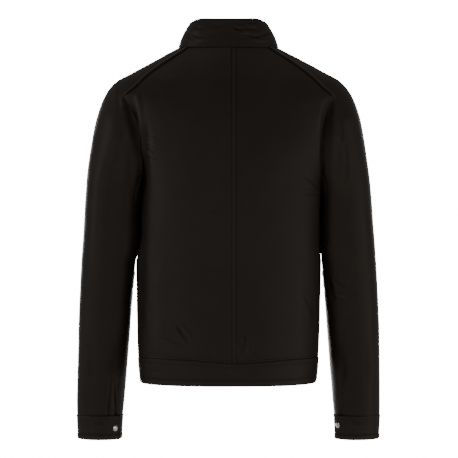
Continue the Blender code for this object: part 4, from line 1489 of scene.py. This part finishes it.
def repeat_along(name, lines, repeater, pitch, size, material):
    """One mesh of a small shape repeated along the lines."""
    group, sockets = repeater
    guide = curve_of(name + "_guide", lines)
    modifier = guide.modifiers.new("Repeat", "NODES")
    modifier.node_group = group
    for key, value in (("pitch", pitch), ("size", size), ("material", material)):
        modifier[sockets[key]] = value
    bpy.context.view_layer.update()
    graph = bpy.context.evaluated_depsgraph_get()
    mesh = bpy.data.meshes.new_from_object(guide.evaluated_get(graph))
    mesh.name = name
    mesh.shade_smooth()
    bpy.data.objects.remove(guide, do_unlink=True)
    return add_object(name, mesh)


# ------------------------------------------------------------------ what the operators share
SHELLS = {}
FINISHES = {}
REPEATERS = {}


def look_of(context):
    return context.scene.jacket_look


def finishes_of(context):
    if not FINISHES:
        FINISHES.update(build_finishes(look_of(context)))
    return FINISHES


def repeater_of(shape):
    if shape not in REPEATERS:
        REPEATERS[shape] = build_repeater("repeat_" + shape, shape)
    return REPEATERS[shape]


def shell_area(shell):
    along = np.diff(shell.points, axis=0)[:, :-1]
    across = np.diff(shell.points, axis=1)[:-1]
    return float(np.linalg.norm(np.cross(along, across), axis=2).sum())


def finish_shell(context, shell, wall):
    finishes = finishes_of(context)
    SHELLS[shell.name] = shell
    obj = make_mesh("leather_" + shell.name, shell, wall, finishes["leather"], finishes["inside"])
    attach(obj, "jacket")
    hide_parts(shell.name)
    width = float(shell.from_start[:, -1].max())
    length = float(shell.from_bottom[-1].max())
    area = min(shell_area(shell), width * length)
    return obj


def tone(name, description, default):
    return FloatVectorProperty(
        name=name, description=description, subtype="COLOR", default=default, min=0.0, max=1.0
    )


def amount(name, description, default, **limits):
    return FloatProperty(name=name, description=description, default=default, **limits)


class JacketLook(bpy.types.PropertyGroup):
    leather_colour: tone(
        "Leather Colour", "The leather's own colour", (0.0230, 0.0172, 0.0130)
    )
    inside_colour: tone(
        "Inside Colour", "The colour of the leather's flesh side", (0.030, 0.024, 0.019)
    )
    thread_colour: tone(
        "Thread Colour", "The colour of the topstitching", (0.026, 0.020, 0.0155)
    )
    leather_roughness: amount(
        "Leather Roughness", "How dull the leather is", 0.50, min=0.1, max=1.0
    )
    crease_strength: amount(
        "Crease Strength",
        "How deep the creases are, as a share of the photographed ones",
        1.0,
        min=0.0,
        max=2.0,
    )
    wave_strength: amount(
        "Wave Strength", "How deep the long soft waves are", 1.0, min=0.0, max=3.0
    )
    stitch_pitch: amount(
        "Stitch Pitch", "From one stitch to the next", 0.0032, min=0.001, unit="LENGTH"
    )
    stitch_radius: amount(
        "Stitch Radius", "Half a thread's thickness", 0.00028, min=0.0001, unit="LENGTH"
    )
    lamp_power: amount(
        "Lamp Power", "The power of the studio's main lamp", 28.0, min=0.0, unit="POWER"
    )


class JACKET_OT_back(bpy.types.Operator):
    """Makes the two back panels with the centre seam between them"""

    bl_idname = "jacket.back"
    bl_label = "Back Panels"

    def execute(self, context):
        for side, word in SIDES:
            rows = panel_rows(1, side * CENTRE_BACK_X + HALF_GAP)
            shell = Shell("back_" + word, rows, side)
            shape_panel(shell, look_of(context))
            if side < 0:
                shape_edges(shell, "centre_back")
            shell.tuck_top()
            finish_shell(context, shell, LEATHER)
        return {"FINISHED"}


def add_surface(shell, look, waves=1.0):
    add_waves(shell, look.wave_strength * waves)
    add_creases(shell, look.crease_strength)


def shape_panel(shell, look):
    """What the back and front panels share: seams that dip, waves and creases."""
    lean_together(shell, -1)
    shell.join_armhole("from_end")
    add_surface(shell, look)
    softly = seam_strength(shell)
    for distances, where in (("from_start", 1.0), ("from_end", softly), ("from_top", 1.0)):
        dip_edge(shell, distances, where=where)
    on_armhole = smooth_step(shell.points[..., 2], UNDERARM_Z, UNDERARM_Z + ARMHOLE_FADE)
    dip_edge(shell, "from_end", ARMHOLE_DIP, ARMHOLE_DIP_WIDTH, on_armhole * softly)
    shape_edges(shell, "panel")


class JACKET_OT_front(bpy.types.Operator):
    """Makes the two front panels, whose edges meet over the zip"""

    bl_idname = "jacket.front"
    bl_label = "Front Panels"

    def execute(self, context):
        rows = panel_rows(-1, FRONT_EDGE_X)
        for side, word in SIDES:
            shell = Shell("front_" + word, rows, side)
            shape_panel(shell, look_of(context))
            shape_edges(shell, "front")
            shell.tuck_top()
            finish_shell(context, shell, LEATHER)
        return {"FINISHED"}


def seam_strength(shell):
    """How deep the armhole's seam lies: hardly where the leather rolls over it at the corner."""
    rolled = between(shell.points[..., 2], *ROLLED_SPAN)
    return 1 - ROLLED_SHARE * rolled


def saddle_share(shell, face):
    """1 where a top sleeve's edge lies against the body, and 0 where it meets the under sleeve."""
    low = split_level(face)
    return smooth_step(shell.points[..., 2], low, low + ARMHOLE_FADE)


class JACKET_OT_sleeves(bpy.types.Operator):
    """Makes the saddle sleeves: a top sleeve up to the collar and an under sleeve on each side"""

    bl_idname = "jacket.sleeves"
    bl_label = "Sleeves"

    def execute(self, context):
        look = look_of(context)
        top = top_sleeve_rows()
        under = under_sleeve_rows()
        for side, word in SIDES:
            shell = Shell("top_sleeve_" + word, top, side)
            lean_together(shell, 1)
            edges = (("from_start", saddle_share(shell, 1)), ("from_end", saddle_share(shell, -1)))
            for distances, where in edges:
                shell.join_armhole(distances, where)
            add_surface(shell, look)
            on_saddle = smooth_step(shell.points[..., 2], *SADDLE_FADE)
            softly = seam_strength(shell)
            for distances, where in edges:
                where = where * on_saddle
                raise_lap(shell, distances, SADDLE_RISE, SADDLE_LAP, where, SADDLE_CREST_HIGHLIGHT)
                dent_line(shell, distances, SADDLE_STITCHES, 0.00035, 0.0010, where)
                # The turned-in leather fills the step down to the panel beside it.
                edge = bell(getattr(shell, distances), 0, FILL_WIDTH)
                shell.under += FILL_DEPTH * edge * where
                dip_edge(shell, distances, 0.0008, 0.0009, softly)
            shape_edges(shell, "top_sleeve")
            shell.tuck_top()
            finish_shell(context, shell, LEATHER)
            shell = Shell("under_sleeve_" + word, under, side)
            lean_together(shell, 1)
            shell.join_armhole("from_top")
            add_surface(shell, look, 0.6)
            shape_edges(shell, "under_sleeve")
            finish_shell(context, shell, LEATHER)
        return {"FINISHED"}


class JACKET_OT_collar(bpy.types.Operator):
    """Makes the stand collar with its topstitched edges and uneven creases"""

    bl_idname = "jacket.collar"
    bl_label = "Stand Collar"

    def execute(self, context):
        shell = Shell("collar", collar_rows())
        add_surface(shell, look_of(context), 0.6)
        shape_edges(shell, "collar")
        finish_shell(context, shell, BAND)
        return {"FINISHED"}


class JACKET_OT_waistband(bpy.types.Operator):
    """Makes the waistband with its topstitched seam and hem"""

    bl_idname = "jacket.waistband"
    bl_label = "Waistband"

    def execute(self, context):
        shell = Shell("waistband", waistband_rows())
        add_surface(shell, look_of(context), 0.7)
        shape_edges(shell, "waistband")
        finish_shell(context, shell, BAND)
        return {"FINISHED"}


class JACKET_OT_cuffs(bpy.types.Operator):
    """Makes the two cuffs, each lapped over itself under its snap"""

    bl_idname = "jacket.cuffs"
    bl_label = "Cuffs"

    def execute(self, context):
        for (side, word), (snap_z, snap_angle, end_angle) in zip(SIDES, CUFFS):
            shell = Shell("cuff_" + word, cuff_rows(end_angle), side)
            # Where the lap ends, the band's top comes back to the sleeve, so the seam stays shut.
            beside = between(shell.from_start, *PINCH_SPAN)
            shell.push(-PINCH_DEPTH * beside * bell(shell.from_top, 0, PINCH_HEIGHT))
            add_surface(shell, look_of(context), 0.5)
            shape_edges(shell, "cuff")
            finish_shell(context, shell, CUFF_BAND)
        return {"FINISHED"}


# Columns: a stitched line's group, its piece, the edge that it runs along and how far from it.
# A piece whose name ends in _ is there twice, left and right.
STITCHED_LINES = (
    ("armhole", "top_sleeve_", "from_start", SADDLE_STITCHES),
    ("armhole", "top_sleeve_", "from_end", SADDLE_STITCHES),
    ("front", "front_", "from_start", FRONT_STITCHES),
    ("cuff", "cuff_", "from_top", CUFF_TOP_STITCHES),
    ("cuff", "cuff_", "from_bottom", CUFF_STITCHES),
    ("cuff", "cuff_", "from_start", CUFF_END_STITCHES),
    ("back", "back_", "from_bottom", WAIST_STITCHES),
    ("front", "front_", "from_bottom", WAIST_STITCHES),
    ("back", "back_right", "from_start", CENTRE_STITCHES),
    ("collar", "collar", "from_top", COLLAR_TOP_STITCHES),
    ("collar", "collar", "from_bottom", COLLAR_STITCHES),
    ("waist", "waistband", "from_top", BAND_TOP_STITCHES),
    ("waist", "waistband", "from_bottom", HEM_STITCHES),
)


def stitched_lines():
    """Each stitched line's group and points: the left ones, the right ones, then the single."""
    for ending in ("left", "right", ""):
        for group, piece, distances, place in STITCHED_LINES:
            if piece.endswith("_") == bool(ending):
                yield group, SHELLS[piece + ending].line(distances, place)


class JACKET_OT_stitches(bpy.types.Operator):
    """Sews the topstitching along the seams and edges"""

    bl_idname = "jacket.stitches"
    bl_label = "Topstitching"

    def execute(self, context):
        look = look_of(context)
        groups = {}
        for group, line in stitched_lines():
            if group == "armhole":
                line = line[line[:, 2] > SADDLE_FADE[0]]
            groups.setdefault(group, []).append(line)
        thick = look.stitch_radius * STITCH_PLUMP
        size = (thick, thick, look.stitch_pitch * STITCH_SHARE)
        thread = finishes_of(context)["thread"]
        repeater = repeater_of("thread")
        for group, lines in groups.items():
            name = "stitches_" + group
            obj = repeat_along(name, lines, repeater, look.stitch_pitch, size, thread)
            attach(obj, "jacket")
        return {"FINISHED"}


def front_path():
    """The centre front's outer face, from the hem to the collar's top edge."""
    path = []
    for name in ("waistband", "front_left", "collar"):
        shell = SHELLS[name]
        rise = 0.0 if name == "front_left" else BAND_RISE
        path += [point * (0, 1, 1) + (0, rise, 0) for point in shell.points[:, 0]]
    return np.array(path)


def path_normals(path):
    tangents = np.gradient(path, axis=0)
    normals = np.stack((np.zeros(len(path)), -tangents[:, 2], tangents[:, 1]), axis=1)
    return normals / np.linalg.norm(normals, axis=1)[:, None]


def even_path(path, step):
    along = lengths_along(path)
    return read_at(np.linspace(0, along[-1], int(along[-1] / step) + 1), along, path)


def ring_faces(rings, count):
    """The faces between rings of count points each, one ring after the other."""
    faces = []
    for low in range(0, (rings - 1) * count, count):
        for index in range(count):
            after = (index + 1) % count
            high = low + count
            faces.append((low + index, low + after, high + after, high + index))
    return faces


class JACKET_OT_zip(bpy.types.Operator):
    """Makes the closed zip: its tape behind the front edges and its row of teeth"""

    bl_idname = "jacket.zip"
    bl_label = "Zip"

    def execute(self, context):
        finishes = finishes_of(context)
        path = even_path(front_path(), ZIP_STEP)
        for _ in range(ZIP_SMOOTHING):
            path[1:-1] = (path[:-2] + 2 * path[1:-1] + path[2:]) / 4
        normals = path_normals(path)
        outer = -(LEATHER + TAPE_GAP)
        half = TAPE_HALF_WIDTH
        section = []
        for end, depth in ((-half, outer), (half, outer - TAPE_THICKNESS)):
            places = np.linspace(end, -end, TAPE_POINTS)
            section += [(x, depth - TAPE_CURVE * (x / half) ** 2) for x in places]
        points = []
        for point, normal in zip(path, normals):
            points += [point + np.array((x, 0, 0)) + normal * out for x, out in section]
        count = len(section)
        faces = ring_faces(len(path), count)
        faces.append(tuple(range(count))[::-1])
        faces.append(tuple(range(len(points) - count, len(points))))
        mesh = new_mesh("zip_tape", np.array(points).tolist(), faces, (finishes["tape"],))
        mesh.shade_smooth()
        mesh.set_sharp_from_angle(angle=math.radians(TAPE_SHARP))
        mesh.validate()
        tape = add_object("zip_tape", mesh)
        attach(tape, "jacket")
        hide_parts("zip_chain_and_tape")
        for side, word in SIDES:
            offset = np.array((side * TOOTH_OFFSET, 0.0, 0.0))
            line = even_path(path + normals * (outer + TOOTH_RISE) + offset, TOOTH_PITCH / 2)
            if side < 0:
                line = line[1:]
            name = "zip_teeth_" + word
            repeater = repeater_of("tooth")
            teeth = repeat_along(name, [line], repeater, TOOTH_PITCH, TOOTH, finishes["teeth"])
            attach(teeth, "jacket")
        return {"FINISHED"}


class JACKET_OT_slider(bpy.types.Operator):
    """Gives the zip's slider and its pull tab their brushed steel"""

    bl_idname = "jacket.slider"
    bl_label = "Slider and Pull Tab"

    def execute(self, context):
        for name in ("zip_slider", "zip_pull_tab"):
            obj = NODES[name]
            obj.data.materials.clear()
            obj.data.materials.append(finishes_of(context)["steel"])
        return {"FINISHED"}


# Columns: share of the radius and share of the height, from the rim to the middle.
SNAP_PROFILE = (
    (0.90, 0.00),
    (0.985, 0.10),
    (1.00, 0.24),
    (0.975, 0.38),
    (0.93, 0.46),
    (0.88, 0.50),
    (0.82, 0.56),
    (0.72, 0.70),
    (0.58, 0.84),
    (0.42, 0.93),
    (0.25, 0.98),
    (0.10, 1.00),
)
SNAP_TURNS = 48
# The rings of the snap's side wall that get the dark painted rim shade.
SNAP_SHADED_RIM_RINGS = 4


class JACKET_OT_snaps(bpy.types.Operator):
    """Turns the two domed snap caps on the cuffs"""

    bl_idname = "jacket.snaps"
    bl_label = "Snaps"

    def execute(self, context):
        finishes = finishes_of(context)
        turns = [2 * math.pi * index / SNAP_TURNS for index in range(SNAP_TURNS)]
        spots = []
        for reach, rise in SNAP_PROFILE:
            radius, height = SNAP_RADIUS * reach, SNAP_HEIGHT * rise
            spots += [(radius * math.cos(turn), radius * math.sin(turn), height) for turn in turns]
        top = len(spots)
        spots += [(0, 0, SNAP_HEIGHT), (0, 0, 0)]
        faces = ring_faces(len(SNAP_PROFILE), SNAP_TURNS)
        last = top - SNAP_TURNS
        for index in range(SNAP_TURNS):
            after = (index + 1) % SNAP_TURNS
            faces += [(last + index, last + after, top), (after, index, top + 1)]
        for (side, word), (snap_z, snap_angle, end_angle) in zip(SIDES, CUFFS):
            turned = end_angle - snap_angle
            places = ((snap_z, snap_angle), (snap_z, snap_angle + 1), (snap_z + 0.001, snap_angle))
            centre, ahead, above = [
                cuff_point(z, angle, turned) * np.array((side, 1.0, 1.0)) for z, angle in places
            ]
            normal = Vector(np.cross(ahead - centre, above - centre)).normalized() * side
            place = Matrix.Translation(Vector(centre) - normal * LAP_GAP)
            place = place @ normal.to_track_quat("Z", "Y").to_matrix().to_4x4()
            points = [tuple(place @ Vector(spot)) for spot in spots]
            metals = (finishes["snap"], finishes["snap_rim"])
            mesh = new_mesh("snap_" + word, points, faces, metals)
            # The side wall's rings get the dark metal of the painted rim shade and reflection.
            for face in mesh.polygons[: SNAP_SHADED_RIM_RINGS * SNAP_TURNS]:
                face.material_index = 1
            mesh.shade_smooth()
            obj = add_object("snap_" + word, mesh)
            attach(obj, "jacket")
            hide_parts("snap_cap_" + word)
        return {"FINISHED"}


# ------------------------------------------------------------------ the studio
def add_lamp(name, place, size, power, colour):
    data = bpy.data.lights.new(name, "AREA")
    data.shape = "RECTANGLE"
    data.size, data.size_y = size
    data.energy = power
    data.color = colour
    obj = add_object(name, data)
    obj.location = place
    towards = Vector(LAMP_AIM) - Vector(place)
    obj.rotation_euler = towards.to_track_quat("-Z", "Y").to_euler()


def add_floor():
    half = FLOOR_HALF_WIDTH
    square = ((-half, -half), (half, -half), (half, half), (-half, half))
    corners = [(x, y, FLOOR_Z) for x, y in square]
    finish = Finish("pale_floor")
    seen = finish.node("ShaderNodeLightPath").outputs["Is Camera Ray"]
    looks = {
        "Base Color": (0.80, 0.80, 0.79, 1.0),
        "Roughness": 0.9,
        "Emission Color": WHITE,
        "Emission Strength": finish.math("MULTIPLY", seen, 1.6),
    }
    finish.look(looks)
    return add_object("floor", new_mesh("floor", corners, [(0, 1, 2, 3)], (finish.material,)))


def light_world(scene):
    """A soft white light from all round, in front of a background that is seen as pure white."""
    world = scene.world or bpy.data.worlds.new("studio")
    scene.world = world
    world.use_nodes = True
    world.node_tree.nodes.clear()
    wiring = Wiring(world.node_tree)
    light, seen = [
        wiring.node("ShaderNodeBackground", {"Color": WHITE, "Strength": strength})
        for strength in (LIGHT_AROUND, LIGHT_SEEN)
    ]
    rays = wiring.node("ShaderNodeLightPath").outputs["Is Camera Ray"]
    inputs = {0: rays, 1: light.outputs["Background"], 2: seen.outputs["Background"]}
    mix = wiring.node("ShaderNodeMixShader", inputs)
    wiring.node("ShaderNodeOutputWorld", {"Surface": mix.outputs["Shader"]})


def add_camera(scene):
    """The photo's camera: level, and shifted so that the picture lies where the photo does."""
    data = bpy.data.cameras.new("camera")
    frame_width = PICTURE_SIZE * PICTURE_STEP
    data.sensor_width = SENSOR
    data.lens = SENSOR * CAMERA_Y / frame_width
    centre_z = (PICTURE_ORIGIN_Y - PICTURE_SIZE / 2) * PICTURE_STEP
    data.shift_y = (centre_z - CAMERA_Z) / frame_width
    data.shift_x = 0.5 * PICTURE_STEP / frame_width
    data.clip_end = 100.0
    camera = add_object("camera", data)
    camera.location = (0.0, CAMERA_Y, CAMERA_Z)
    camera.rotation_euler = (math.radians(90), 0.0, math.radians(180))
    scene.camera = camera


WHITE = (1.0, 1.0, 1.0, 1.0)
LIGHT_AROUND = 0.22
LIGHT_SEEN = 16.0
FLOOR_Z = -1.55
FLOOR_HALF_WIDTH = 5.0
SENSOR = 36.0
LAMP_AIM = (0.0, 0.0, -0.33)
# Columns: a lamp's name, place, size, share of the power and colour.
LAMPS = (
    ("key", (0.3, 4.4, -1.15), (2.6, 1.4), 0.37, (1.0, 0.97, 0.93)),
    ("fill_left", (2.2, 2.6, -1.0), (1.4, 1.4), 0.30, (1.0, 0.96, 0.92)),
    ("fill_right", (-2.2, 2.6, -1.0), (1.4, 1.4), 0.39, (1.0, 0.96, 0.92)),
    ("top", (0.2, 0.2, 2.2), (1.6, 1.0), 0.17, (0.97, 0.98, 1.0)),
    ("side_left", (2.5, 0.6, 0.2), (0.6, 1.8), 0.40, (0.95, 0.97, 1.0)),
    ("side_right", (-2.5, 0.7, -0.6), (0.6, 2.0), 0.30, (1.0, 0.98, 0.95)),
    ("front", (0.5, -3.0, -0.5), (2.2, 1.8), 2.6, (1.0, 0.98, 0.95)),
    ("flank_left", (1.6, -3.2, -0.2), (0.8, 1.6), 0.45, (1.0, 0.98, 0.96)),
    ("flank_right", (-1.6, -3.2, -0.2), (0.8, 1.6), 0.40, (1.0, 0.98, 0.96)),
)


class JACKET_OT_stage(bpy.types.Operator):
    """Sets the pale floor, the soft studio light and the camera"""

    bl_idname = "jacket.stage"
    bl_label = "Studio and Camera"

    def execute(self, context):
        floor = add_floor()
        light_world(context.scene)
        power = look_of(context).lamp_power
        for name, place, size, share, colour in LAMPS:
            add_lamp(name, place, size, power * share, colour)
        add_camera(context.scene)
        return {"FINISHED"}


STEPS = (
    JACKET_OT_back,
    JACKET_OT_front,
    JACKET_OT_sleeves,
    JACKET_OT_collar,
    JACKET_OT_waistband,
    JACKET_OT_cuffs,
    JACKET_OT_stitches,
    JACKET_OT_zip,
    JACKET_OT_slider,
    JACKET_OT_snaps,
    JACKET_OT_stage,
)


class JACKET_PT_panel(bpy.types.Panel):
    """The jacket's looks and the steps that build it"""

    bl_label = "Leather Jacket"
    bl_idname = "JACKET_PT_panel"
    bl_space_type = "VIEW_3D"
    bl_region_type = "UI"
    bl_category = "Jacket"

    def draw(self, context):
        look = look_of(context)
        for name in JacketLook.__annotations__:
            self.layout.prop(look, name)
        for step in STEPS:
            self.layout.operator(step.bl_idname)


CLASSES = (JacketLook, *STEPS, JACKET_PT_panel)


def register():
    for item in CLASSES:
        bpy.utils.register_class(item)
    bpy.types.Scene.jacket_look = PointerProperty(type=JacketLook)


def unregister():
    del bpy.types.Scene.jacket_look
    for item in reversed(CLASSES):
        bpy.utils.unregister_class(item)


def main():
    for obj in list(bpy.data.objects):
        if obj.name in ("Cube", "Light", "Camera"):
            bpy.data.objects.remove(obj, do_unlink=True)
    register()
    for step in STEPS:
        group, name = step.bl_idname.split(".")
        getattr(getattr(bpy.ops, group), name)()


if __name__ == "__main__":
    main()
